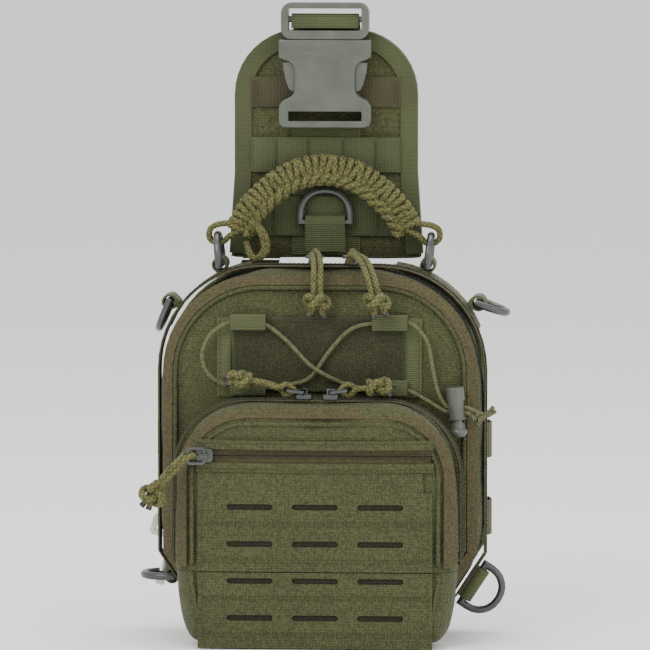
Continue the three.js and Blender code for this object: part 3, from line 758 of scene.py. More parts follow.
def strip(name: str, route: Sequence[Vector], across: Vector, width: float, thick: float) -> bpy.types.Object:
    """A webbing: a narrow plane whose end edge is extruded along a route, then thickened and rounded.

    Args:
        name: its name.
        route: the middle line's points.
        across: the direction of its width.
        width: its width.
        thick: its thickness.

    Returns:
        The strip.
    """
    deselect_all()
    bpy.ops.mesh.primitive_plane_add(size=width)
    piece = bpy.context.object
    piece.name = name
    half = across.normalized() * width / 2
    corners = (route[0] - half, route[0] + half, route[1] - half, route[1] + half)
    for vertex, corner in zip(piece.data.vertices, corners):
        vertex.co = corner
    bpy.ops.object.mode_set(mode="EDIT")
    bpy.ops.mesh.select_mode(type="VERT")
    bpy.ops.mesh.select_all(action="DESELECT")
    bpy.ops.object.mode_set(mode="OBJECT")
    piece.data.vertices[2].select = True
    piece.data.vertices[3].select = True
    bpy.ops.object.mode_set(mode="EDIT")
    bpy.ops.mesh.select_mode(type="EDGE")
    for a, b in zip(route[1:], route[2:]):
        bpy.ops.mesh.extrude_edges_move(TRANSFORM_OT_translate={"value": tuple(b - a)})
    bpy.ops.object.mode_set(mode="OBJECT")
    wall = piece.modifiers.new("Thickness", "SOLIDIFY")
    wall.thickness = thick
    wall.offset = 0
    wall.use_even_offset = True
    rounding = piece.modifiers.new("Rounding", "BEVEL")
    rounding.width = thick * 0.3
    rounding.segments = 2
    rounding.limit_method = "ANGLE"
    rounding.angle_limit = math.radians(50)
    apply_modifiers(piece)
    outward(piece)
    return piece


class Stitching:
    """Rows of sewing thread, from one modelled stitch."""

    def __init__(self, palette: Palette) -> None:
        """Model the stitch.

        Args:
            palette: the finishes.
        """
        self.palette = palette
        deselect_all()
        bpy.ops.mesh.primitive_cylinder_add(vertices=5, radius=0.34 * MM, depth=1.0 * MM, rotation=(0, math.pi / 2, 0))
        self.unit = bpy.context.object
        bpy.ops.object.transform_apply(location=False, rotation=True, scale=False)
        bpy.ops.object.mode_set(mode="EDIT")
        bpy.ops.mesh.select_mode(type="FACE")
        for sign in (-1, 1):
            bpy.ops.mesh.select_all(action="DESELECT")
            bpy.ops.object.mode_set(mode="OBJECT")
            for polygon in self.unit.data.polygons:
                polygon.select = polygon.normal.x * sign > 0.9
            bpy.ops.object.mode_set(mode="EDIT")
            bpy.ops.mesh.extrude_region_move(TRANSFORM_OT_translate={"value": (0.5 * MM * sign, 0, 0)})
            bpy.ops.transform.resize(value=(1, 0.35, 0.35))
        bpy.ops.object.mode_set(mode="OBJECT")
        for vertex in self.unit.data.vertices:
            vertex.co.x += 1.2 * MM

    def row(self, name: str, points: Sequence[Vector], body: str, pitch: float = 3.1 * MM) -> bpy.types.Object:
        """Sew one row.

        Args:
            name: its name.
            points: the path on the cloth.
            body: the body it moves with.
            pitch: spacing of the stitches.

        Returns:
            The row.
        """
        made = along(name, self.unit, points, pitch)
        return settle(made, self.palette.thread, body, 60)

    def box(self, name: str, centre: Vector, across: Vector, up: Vector, size: tuple[float, float], body: str) -> None:
        """Sew a box with a cross in it.

        Args:
            name: its name.
            centre: the box's centre on the cloth.
            across: its unit direction across.
            up: its unit direction up.
            size: its width and height.
            body: the body it moves with.
        """
        corner = [centre + across * size[0] / 2 * x + up * size[1] / 2 * y for x, y in ((-1, -1), (1, -1), (1, 1), (-1, 1))]
        order = [0, 1, 2, 3, 0, 2, 1, 3]
        points: list[Vector] = []
        for a, b in zip(order, order[1:]):
            points.extend(corner[a].lerp(corner[b], k / 6) for k in range(6))
        self.row(name, points, body, 2.6 * MM)

    def done(self) -> None:
        """Remove the master stitch."""
        bpy.data.objects.remove(self.unit)


@dataclass(frozen=True)
class Arch:
    """An outline with a rounded top and slanted lower corners, in millimetres."""

    half: float
    height: float
    top_radius: float
    foot_half: float
    foot_rise: float

    def points(self, inset: float = 0.0, steps: int = 12, foot: float | None = None) -> list[tuple[float, float]]:
        """The outline from the lower left corner over the top to the lower right.

        Args:
            inset: how far inside it lies.
            steps: steps of each rounded corner.
            foot: height of its lowest points, the inset without it.

        Returns:
            Points in X and Z, in millimetres.
        """
        w, h, r = self.half - inset, self.height - inset, max(self.top_radius - inset, 2)
        low = inset if foot is None else foot
        slope = (self.half - self.foot_half) / self.foot_rise
        knee = self.foot_rise + inset * 0.35
        base = w - slope * (knee - low)
        right = [(base, low), (w, knee)]
        right += [
            (w - r + r * math.cos(a), h - r + r * math.sin(a))
            for a in (math.pi / 2 * k / steps for k in range(steps + 1))
        ]
        return [(-x, z) for x, z in right] + [(x, z) for x, z in reversed(right)]

    def line(self, y: float, inset: float = 0.0, low: float = -1.0, step: float = 3.0) -> list[Vector]:
        """The outline as close points at one depth.

        Args:
            y: the depth, in millimetres.
            inset: how far inside the outline it lies.
            low: points below this height are left out.
            step: spacing in millimetres.

        Returns:
            Points in metres.
        """
        dense: list[Vector] = []
        outline = [Vector((x, y, z)) for x, z in self.points(inset)]
        for a, b in zip(outline, outline[1:]):
            count = max(1, round((b - a).length / step))
            dense += [a.lerp(b, k / count) for k in range(count)]
        dense.append(outline[-1])
        return [p * MM for p in dense if p.z >= low]


PACK = Arch(110, 252, 70, 72, 58)
POCKET = Arch(96, 165, 50, 88, 40)


def outline_block(
    name: str, outline: Sequence[tuple[float, float]], y0: float, y1: float, front: float, rear: float, floor: float | None = None
) -> bpy.types.Object:
    """A block of an outline: a filled circle shaped to it, extruded in depth, its edges bevelled.

    Args:
        name: its name.
        outline: points in X and Z, in millimetres.
        y0: the front's depth.
        y1: the rear's depth.
        front: radius of the front edge.
        rear: radius of the rear edge.
        floor: height of a level cut across its foot, if it has one.

    Returns:
        The block.
    """
    deselect_all()
    clean = [p for p, q in zip(outline, [*outline[1:], outline[0]]) if math.dist(p, q) > 0.3]
    bpy.ops.mesh.primitive_circle_add(vertices=len(clean), radius=0.1, fill_type="NGON")
    piece = bpy.context.object
    piece.name = name
    for vertex, (x, z) in zip(piece.data.vertices, clean):
        vertex.co = (x * MM, y0 * MM, z * MM)
    bpy.ops.object.mode_set(mode="EDIT")
    bpy.ops.mesh.select_all(action="SELECT")
    bpy.ops.mesh.extrude_region_move(TRANSFORM_OT_translate={"value": (0, (y1 - y0) * MM, 0)})
    for depth, radius in ((y1, rear), (y0, front)):
        if radius <= 0:
            continue
        bpy.ops.mesh.select_mode(type="EDGE")
        bpy.ops.mesh.select_all(action="DESELECT")
        bpy.ops.object.mode_set(mode="OBJECT")
        for edge in piece.data.edges:
            ends = [piece.data.vertices[i].co.y for i in edge.vertices]
            edge.select = all(abs(e - depth * MM) < 1e-5 for e in ends)
        bpy.ops.object.mode_set(mode="EDIT")
        bpy.ops.mesh.bevel(offset=radius * MM, segments=4, profile=0.6)
    if floor is not None:
        bpy.ops.mesh.select_all(action="SELECT")
        bpy.ops.mesh.bisect(plane_co=(0, 0, floor * MM), plane_no=(0, 0, -1), clear_outer=True, use_fill=True)
    bpy.ops.object.mode_set(mode="OBJECT")
    outward(piece)
    return piece


@dataclass(frozen=True)
class Puff:
    """How a padded shape swells: its cloth pressure, the cap on its moves and its creases."""

    voxel: float = 5.0 * MM
    pressure: float = 4.0
    cap: float = 4.0 * MM
    crease: float = 0.5 * MM
    seed: float = 0.0


def fitted(piece: bpy.types.Object, low: Point, high: Point) -> None:
    """Stretch a swollen piece to its box, which remeshing and smoothing draw in a little.

    Args:
        piece: the object.
        low: the box's lowest corner, in millimetres.
        high: its highest corner.
    """
    for axis in range(3):
        values = [v.co[axis] for v in piece.data.vertices]
        least, most = min(values), max(values)
        scale = (high[axis] - low[axis]) * MM / (most - least)
        for vertex in piece.data.vertices:
            vertex.co[axis] = low[axis] * MM + (vertex.co[axis] - least) * scale


def swell(
    piece: bpy.types.Object, puff: Puff, low: Point, high: Point, hold: Callable[[Vector], Vector] | None = None
) -> None:
    """Swell a block as sewn cloth over foam, by a cloth simulation under pressure, and crease it.

    Args:
        piece: the block.
        puff: how it swells.
        low: lowest corner of the box it fills, in millimetres.
        high: highest corner of that box.
        hold: moves a point back where the piece rests on a neighbour.
    """
    remesh = piece.modifiers.new("Remesh", "REMESH")
    remesh.mode = "VOXEL"
    remesh.voxel_size = puff.voxel
    remesh.use_smooth_shade = True
    apply_modifiers(piece)
    start = [v.co.copy() for v in piece.data.vertices]
    cloth = piece.modifiers.new("Cloth", "CLOTH")
    cloth.settings.quality = 4
    cloth.settings.use_pressure = True
    cloth.settings.uniform_pressure_force = puff.pressure
    cloth.settings.effector_weights.gravity = 0
    cloth.settings.tension_stiffness = 12
    cloth.point_cache.frame_start = 1
    cloth.point_cache.frame_end = 20
    scene = bpy.context.scene
    for frame in range(1, 21):
        scene.frame_set(frame)
    apply_modifiers(piece)
    scene.frame_set(1)
    for vertex, was in zip(piece.data.vertices, start):
        move = vertex.co - was
        if move.length > puff.cap:
            vertex.co = was + move * (puff.cap / move.length)
    smooth = piece.modifiers.new("Soften", "SMOOTH")
    smooth.factor = 0.5
    smooth.iterations = 2
    finer = piece.modifiers.new("Finer", "SUBSURF")
    finer.levels = 1
    finer.render_levels = 1
    apply_modifiers(piece)
    fitted(piece, low, high)
    offset = Vector((puff.seed, 0, 0))
    for vertex in piece.data.vertices:
        spot = vertex.co
        broad = noise.noise(spot * 22 + offset)
        fine = noise.noise(Vector((spot.x * 60, spot.y * 60, spot.z * 90)) + offset)
        vertex.co = spot + vertex.normal * puff.crease * (1.2 * broad + 0.5 * fine)
        if hold:
            vertex.co = hold(vertex.co)
    piece.data.update()


def sliced(piece: bpy.types.Object, name: str, cuts: Sequence[tuple[Point, Point]], wall: float) -> bpy.types.Object:
    """A copy of a closed block cut open by planes and given a wall.

    Args:
        piece: the block, left as it is.
        name: the copy's name.
        cuts: a point and a normal for each plane; what lies on the normal's side goes.
        wall: the wall's thickness; none leaves the open skin.

    Returns:
        The copy.
    """
    copy = piece.copy()
    copy.data = piece.data.copy()
    copy.name = name
    bpy.context.collection.objects.link(copy)
    pick(copy)
    bpy.ops.object.mode_set(mode="EDIT")
    for point, normal in cuts:
        bpy.ops.mesh.select_all(action="SELECT")
        bpy.ops.mesh.bisect(plane_co=point, plane_no=normal, clear_outer=True, use_fill=False)
    bpy.ops.object.mode_set(mode="OBJECT")
    if wall > 0:
        give_wall(copy, wall)
    return copy


def give_wall(piece: bpy.types.Object, wall: float) -> None:
    """Thicken an open skin inwards.

    Args:
        piece: the skin.
        wall: its thickness.
    """
    solid = piece.modifiers.new("Wall", "SOLIDIFY")
    solid.thickness = wall
    solid.offset = -1
    apply_modifiers(piece)


def gusset_tape(
    name: str, arch: Arch, low: float, ends: tuple[tuple[float, float], tuple[float, float]], body: str, palette: Palette
) -> bpy.types.Object:
    """A slanted band of zip tape round the rounded edge of a pocket or pack.

    Args:
        name: its name.
        arch: the outline that it follows.
        low: the height where it ends.
        ends: its inner and outer edge, as outset and forward distance, in millimetres.
        body: the body it moves with.
        palette: the finishes.

    Returns:
        The band.
    """
    (x0, y0), (x1, y1) = ends
    away = Vector((y0 - y1, x1 - x0)).normalized() * 0.9
    section = [(x0, y0), (x1, y1), (x1 + away.x, y1 + away.y), ((x0 + x1) / 2 + away.x * 1.5, (y0 + y1) / 2 + away.y * 1.5)]
    section.append((x0 + away.x, y0 + away.y))
    route = arch.line(0.0, 0.0, low)
    made = swept(name, route, [(-x * MM, y * MM) for x, y in section], up=Vector((0, -1, 0)))
    return settle(made, palette.tape, body, 40)


def rod(name: str, points: Sequence[Vector], radius: float, material: bpy.types.Material, body: str, sides: int = 10, closed: bool = False) -> bpy.types.Object:
    """A round cord or piping along a path.

    Args:
        name: its name.
        points: the path.
        radius: its radius.
        material: its finish.
        body: the body it moves with.
        sides: sides of its section.
        closed: join its end to its start.

    Returns:
        The rod.
    """
    return settle(swept(name, points, round_section(radius, sides), closed), material, body, 60)


# ---------------------------------------------------------------- view


@dataclass
class Studio:
    """The floor, the lights and the camera."""

    target: Point = (0.0068, -0.062, 0.2190)
    distance: float = 5.0
    azimuth: float = math.radians(3.8)
    elevation: float = math.radians(5.0)
    frame: float = 0.4355

    def build(self) -> None:
        """Set the floor, lights and camera."""
        scene = bpy.context.scene
        deselect_all()
        bpy.ops.mesh.primitive_plane_add(size=90, location=(0, 0, -0.0004))
        floor = bpy.context.object
        floor.name = "floor"
        board = NodeBoard("pale_floor")
        tone = board.colours(board.grain(board.place(), 3, 2), (0.90, 0.90, 0.895), (0.92, 0.92, 0.915))
        board.link(tone, board.shader.inputs["Base Color"])
        board.gloss(0.8, specular=0.2)
        floor.data.materials.append(board.material)
        world = bpy.data.worlds.new("studio")
        world.use_nodes = True
        world.node_tree.nodes["Background"].inputs[0].default_value = (1, 1, 1, 1)
        world.node_tree.nodes["Background"].inputs[1].default_value = 1.2
        scene.world = world
        for name, place, size, power in (
            ("key_light", (-0.9, -1.6, 1.7), 1.2, 30),
            ("fill_light", (1.5, -1.2, 0.9), 1.4, 14),
            ("top_light", (0.1, 0.5, 1.9), 1.2, 16),
        ):
            bpy.ops.object.light_add(type="AREA", location=place)
            light = bpy.context.object
            light.name = name
            light.data.size = size
            light.data.energy = power
            light.rotation_euler = (Vector((0, 0, 0.2)) - Vector(place)).to_track_quat("-Z", "Y").to_euler()
        away = Vector((
            math.sin(self.azimuth) * math.cos(self.elevation),
            -math.cos(self.azimuth) * math.cos(self.elevation),
            math.sin(self.elevation),
        ))
        camera = bpy.data.objects.new("camera", bpy.data.cameras.new("camera"))
        bpy.context.collection.objects.link(camera)
        camera.location = Vector(self.target) + away * self.distance
        camera.rotation_euler = (-away).to_track_quat("-Z", "Y").to_euler()
        camera.data.sensor_width = 36
        camera.data.lens = 36 * self.distance / self.frame
        scene.camera = camera


# ---------------------------------------------------------------- cords


def knot_path(centre: Vector, size: float, turn: Matrix) -> list[Vector]:
    """The closed path of a small three-lobed knot.

    Args:
        centre: its centre.
        size: its reach.
        turn: its rotation.

    Returns:
        Points, the last one not repeated.
    """
    out = []
    for k in range(36):
        t = 2 * math.pi * k / 36
        spot = Vector((math.sin(t) + 2 * math.sin(2 * t), math.cos(t) - 2 * math.cos(2 * t), -1.3 * math.sin(3 * t)))
        out.append(centre + turn @ (spot * size / 3.2))
    return out


@dataclass
class CordPull:
    """A zip slider with its puller, and a doubled cord through it tied in a knot."""

    name: str
    at: Point
    run: Point
    out: Point
    centres: tuple[Point, ...]
    ends: tuple[Point, Point]
    cord_radius: float = 2.0
    lift: float = -0.13
    pivot_height: float = 4.9
    bar_y: float = -10.3
    over: float = 3.7

    def frame(self) -> Matrix:
        """The puller's frame, in millimetres.

        Returns:
            The matrix from the puller's frame to the bag's.
        """
        x = Vector(self.run).normalized()
        y = Vector(self.out)
        y = (y - x * y.dot(x)).normalized()
        turn = Matrix((x, y, x.cross(y))).transposed().to_4x4()
        lifted = Matrix.Translation((0, 0, self.pivot_height)) @ Matrix.Rotation(self.lift, 4, "X")
        return Matrix.Translation(self.at) @ turn @ lifted

    def build(self, palette: Palette) -> None:
        """Make the cord, the knot with its melted ends, and dress the slider and the puller.

        Args:
            palette: the finishes.
        """
        frame = self.frame()
        side = self.cord_radius + 0.25
        leg = [[(x + s * side, y, z) for x, y, z in self.centres] for s in (1, -1)]
        local = [*reversed(leg[0]), (1, self.bar_y - 2, self.over), (0, self.bar_y + self.over, 0)]
        local += [(-1, self.bar_y - 2, -self.over), *leg[1]]
        route = [frame @ Vector(p) * MM for p in local]
        path = spline_points(route, 1.5 * MM)
        body = f"{self.name}_pull"
        cord = rod(f"{self.name}_cord", path, self.cord_radius * MM, palette.cord, body, 12)
        centre = (frame @ Vector(self.centres[-1])) * MM
        knot = rod(f"{self.name}_knot", knot_path(centre, 8.6 * MM, frame.to_3x3()), 2.5 * MM, palette.cord, body, 12, True)
        for k, end in enumerate(self.ends):
            tail = spline_points([centre, centre + Vector(end) * 6 * MM, centre + Vector(end) * 10.5 * MM], 1.2 * MM)
            rod(f"{self.name}_tail_{k}", tail, 1.9 * MM, palette.cord, body, 10)
            tip = [tail[-1] - Vector(end) * 0.6 * MM, tail[-1] + Vector(end) * 1.1 * MM, tail[-1] + Vector(end) * 1.6 * MM]
            rod(f"{self.name}_melted_{k}", tip, 2.05 * MM, palette.burnt, body, 10)
        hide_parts(f"{self.name}_pull_cord")
        softened(f"{self.name}_slider", palette.metal, f"{self.name}_slider_body", 0.5 * MM, 3)
        softened(f"{self.name}_puller", palette.metal, body, 0.45 * MM, 3)


PULLS = (
    CordPull("main_left", (-5, 14, 253.6), (1, 0, 0), (0, 1, 0),
             ((1, -17, 1), (3, -30, -3), (4, -36, -10), (4, -38, -20), (4, -37, -32)),
             ((0.45, -0.1, -0.9), (-0.5, -0.2, -0.8))),
    CordPull("main_right", (20, 14, 253.6), (1, 0, 0), (0, 1, 0),
             ((2, -17, 1), (8, -31, -2), (13, -40, -9), (17, -45, -20), (20, -46, -32)),
             ((0.6, -0.1, -0.8), (-0.2, -0.2, -0.95))),
    CordPull("pocket_left", (-9, -38.3, 166.6), (0, -1, 0), (1, 0, 0),
             ((1, -18, 1), (2, -30, 3), (2, -43, 3)), ((-1, 0, 0.15), (-0.9, -0.2, -0.3))),
    CordPull("pocket_right", (9, -38.3, 166.6), (0, 1, 0), (-1, 0, 0),
             ((-1, -18, 0), (-2, -24, 0), (-2, -32, 0)), ((1, 0, 0.1), (0.8, -0.2, -0.5))),
    CordPull("face", (-74, -63.6, 131), (0, 0, -1), (1, 0, 0),
             ((5, -17, 1), (14, -26, 2), (25, -34, 2)), ((-0.7, 0, -0.7), (-0.3, -0.1, -0.9))),
)


@dataclass
class LacedElastic:
    """The elastic cord laced over the loop patch, tied behind its cord lock."""

    radius: float = 1.4
    line_y: float = -22.9
    lock_y: float = -24.0
    right: tuple[tuple[float, float], ...] = (
        (77, 186), (73, 205), (62, 217), (50, 217), (38, 217), (22, 213), (8, 199), (-6, 180), (-20, 175),
        (-34, 173), (-46, 173), (-60, 173.5), (-74, 181), (-79, 194), (-74, 208), (-62, 216.5), (-50, 217),
        (-37, 216), (-22, 205),
    )
    left: tuple[tuple[float, float], ...] = (
        (12, 178), (26, 173.5), (36, 173), (46, 173), (60, 171.5), (73, 165),
    )

    def route(self) -> list[Point]:
        """The route, from the lock's knot round the loops and back.

        Returns:
            Points in millimetres.
        """
        start = [(108, self.lock_y, 156.5), (101, self.lock_y, 160), (94, self.lock_y, 160.3)]
        start += [(87, self.lock_y, 160.8), (81, self.line_y - 1.5, 170)]
        middle = [(x, self.line_y, z) for x, z in self.right]
        crossing = [(-5, self.line_y - 3.2, 188)]
        back = [(x, self.line_y, z) for x, z in self.left]
        end = [(85, self.lock_y, 158), (94, self.lock_y, 157), (101, self.lock_y, 156.6)]
        return [*start, *middle, *crossing, *back, *end, (106, self.lock_y - 0.5, 150)]

    def build(self, palette: Palette) -> None:
        """Make the cord with its knot and tails, and dress the lock.

        Args:
            palette: the finishes.
        """
        path = spline_points([Vector(p) * MM for p in self.route()], 2.0 * MM)
        cord = rod("laced_elastic", path, self.radius * MM, palette.elastic, "front", 12)
        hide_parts("elastic_cord")
        centre = Vector((107.5, self.lock_y, 153.2)) * MM
        knot = rod("elastic_knot", knot_path(centre, 4.4 * MM, Matrix.Rotation(1.2, 3, "X")), 1.5 * MM, palette.elastic, "front", 10, True)
        for k, (dx, dz) in enumerate(((11, 8), (12.5, 5))):
            tail = spline_points([centre, centre + Vector((dx * 0.5, -1.5, dz * 0.3)) * MM, centre + Vector((dx, -1, dz)) * MM], 1.2 * MM)
            rod(f"elastic_tail_{k}", tail, self.radius * MM, palette.elastic, "front", 10)
        softened("cord_lock_barrel", palette.plastic, "front", 0.9 * MM, 3)
        softened("cord_lock_button", palette.plastic, "cord_lock_plunger", 0.5 * MM, 3)


# ---------------------------------------------------------------- pack and pocket


@dataclass
class PackBody:
    """The main compartment: two soft shells that meet across the zip, their seams, webbing and back pad."""

    zip_y: float = 14.0
    rear_y: float = 52.0
    front_y: float = -16.0
    wall: float = 2.0

    def build(self, palette: Palette, sewing: Stitching) -> None:
        """Make and dress the shells.

        Args:
            palette: the finishes.
            sewing: the stitch rows.
        """
        block = outline_block("pack_block", PACK.points(0.6, foot=-16), self.front_y + 1.4, self.rear_y - 0.5, 12.5, 4.0, 0.4)

        def hold(p: Vector) -> Vector:
            p.y = min(max(p.y, self.front_y * MM), (self.rear_y + 0.2) * MM)
            p.z = min(max(p.z, 0.0), 0.2535)
            p.x = min(max(p.x, -0.1112), 0.1112)
            return p

        swell(block, Puff(5 * MM, 3.0, 2.4 * MM, 0.5 * MM, 3.0), (-110, -16, 0), (110, 52, 252), hold)
        front = sliced(block, "front_shell_cloth", [((0, (self.zip_y - 0.15) * MM, 0), (0, 1, 0))], self.wall * MM)
        back = sliced(block, "back_shell_cloth", [((0, (self.zip_y + 0.15) * MM, 0), (0, -1, 0))], self.wall * MM)
        bpy.data.objects.remove(block)
        for piece, node, body in ((front, "front_shell", "front"), (back, "back_shell", "back")):
            settle(piece, palette.cloth, body, 60)
            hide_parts(node)
        seam = PACK.line(-14.6, 12.0, 3)
        rod("front_panel_piping", seam, 1.5 * MM, palette.cloth, "front", 8)
        gusset_tape("main_gusset_tape", PACK, 2.0, ((-10.4, 14.9), (-3.6, 9.6)), "front", palette)
        sewing.row("front_panel_stitches", PACK.line(-16.2, 15.2, 6), "front")
        sewing.row("front_gusset_stitches", PACK.line(-6.6, 3.2, 6), "front")
        sewing.row("rear_gusset_stitches", PACK.line(27.5, -1.3, 6), "back")
        for side in (-1, 1):
            for row, z in enumerate((133.0, 80.0)):
                self.side_webbing(side, row, z, palette, sewing)
            shoulder = [p for p in PACK.line(36, -1.4, 6, 2.0) if 0.048 < side * p.x < 0.1065 and p.z > 0.2]
            made = strip(f"shoulder_webbing_{'right' if side > 0 else 'left'}", shoulder, Vector((0, 1, 0)), 23 * MM, 1.4 * MM)
            settle(made, palette.web_light, "back")
        self.back_pad(palette, sewing)
        for node, body in (("main_zip_rear_tape", "back"), ("main_zip_front_tape", "front")):
            softened(node, palette.tape, body, 0.3 * MM)

    def side_webbing(self, side: int, row: int, z: float, palette: Palette, sewing: Stitching) -> None:
        """One webbing loop on the side wall.

        Args:
            side: -1 left, 1 right.
            row: its number.
            z: its middle height.
            palette: the finishes.
            sewing: the stitch rows.
        """
        shape = ((24.5, 0.2), (27, 0.5), (30, 2.2), (37, 3.0), (44, 2.2), (47.5, 0.5), (50.5, 0.2))
        route = [Vector((side * (110.9 + out), y, z)) * MM for y, out in shape]
        route = spline_points([tuple(p) for p in route], 2.0 * MM)
        name = f"side_webbing_{'right' if side > 0 else 'left'}_{row}"
        settle(strip(name, route, Vector((0, 0, 1)), 24 * MM, 1.4 * MM), palette.web_across, "back")
        for k, y in enumerate((26.0, 49.0)):
            line = [Vector((side * 112.0, y, z + d)) * MM for d in (-11, -4, 4, 11)]
            sewing.row(f"{name}_tack_{k}", line, "back", 2.4 * MM)

    def back_pad(self, palette: Palette, sewing: Stitching) -> None:
        """The padded panel against the wearer's back, with sewn channels.

        Args:
            palette: the finishes.
            sewing: not used.
        """
        pad = outline_block("back_pad", PACK.points(3.0, foot=3.0), 52.4, 60.2, 0.0, 2.5)
        lines = (70.0, 130.0, 190.0)

        def hold(p: Vector) -> Vector:
            for z in lines:
                near = abs(p.z - z * MM) / (5 * MM)
                if near < 1 and p.y > 0.056 and abs(p.x) < 0.09:
                    p.y -= 2.4 * MM * (1 - near) ** 2
            p.y = min(max(p.y, 0.0523), 0.0612)
            return p

        swell(pad, Puff(3.5 * MM, 4.0, 3.0 * MM, 0.3 * MM, 9.0), (-107, 52.4, 3), (107, 60.4, 249), hold)
        settle(pad, palette.mesh, "back", 60)
        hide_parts("back_panel")
        rod("back_pad_piping", PACK.line(55.6, 3.4, 4), 2.0 * MM, palette.binding, "back", 8)


@dataclass
class ZipCoil:
    """The two rows of a zip's coil, one on each of its tapes."""

    pitch: float = 1.5
    height: float = 1.7

    def build(self, name: str, lines: Sequence[tuple[Sequence[Vector], str]], palette: Palette) -> None:
        """Lay the coils along their tapes.

        Args:
            name: the zip's name.
            lines: each coil's path and body.
            palette: the finishes.
        """
        deselect_all()
        bpy.ops.mesh.primitive_cylinder_add(vertices=6, radius=0.62 * MM, depth=2.4 * MM, rotation=(math.pi / 2, 0, 0.35))
        unit = bpy.context.object
        bpy.ops.object.transform_apply(location=False, rotation=True, scale=False)
        bpy.ops.object.mode_set(mode="EDIT")
        bpy.ops.mesh.select_all(action="SELECT")
        bpy.ops.mesh.bevel(offset=0.18 * MM, segments=1)
        bpy.ops.object.mode_set(mode="OBJECT")
        for vertex in unit.data.vertices:
            vertex.co.x += 0.75 * MM
        for k, (points, body) in enumerate(lines):
            row = along(f"{name}_coil_{k}", unit, points, self.pitch * MM)
            settle(row, palette.coil, body, 50)
        bpy.data.objects.remove(unit)


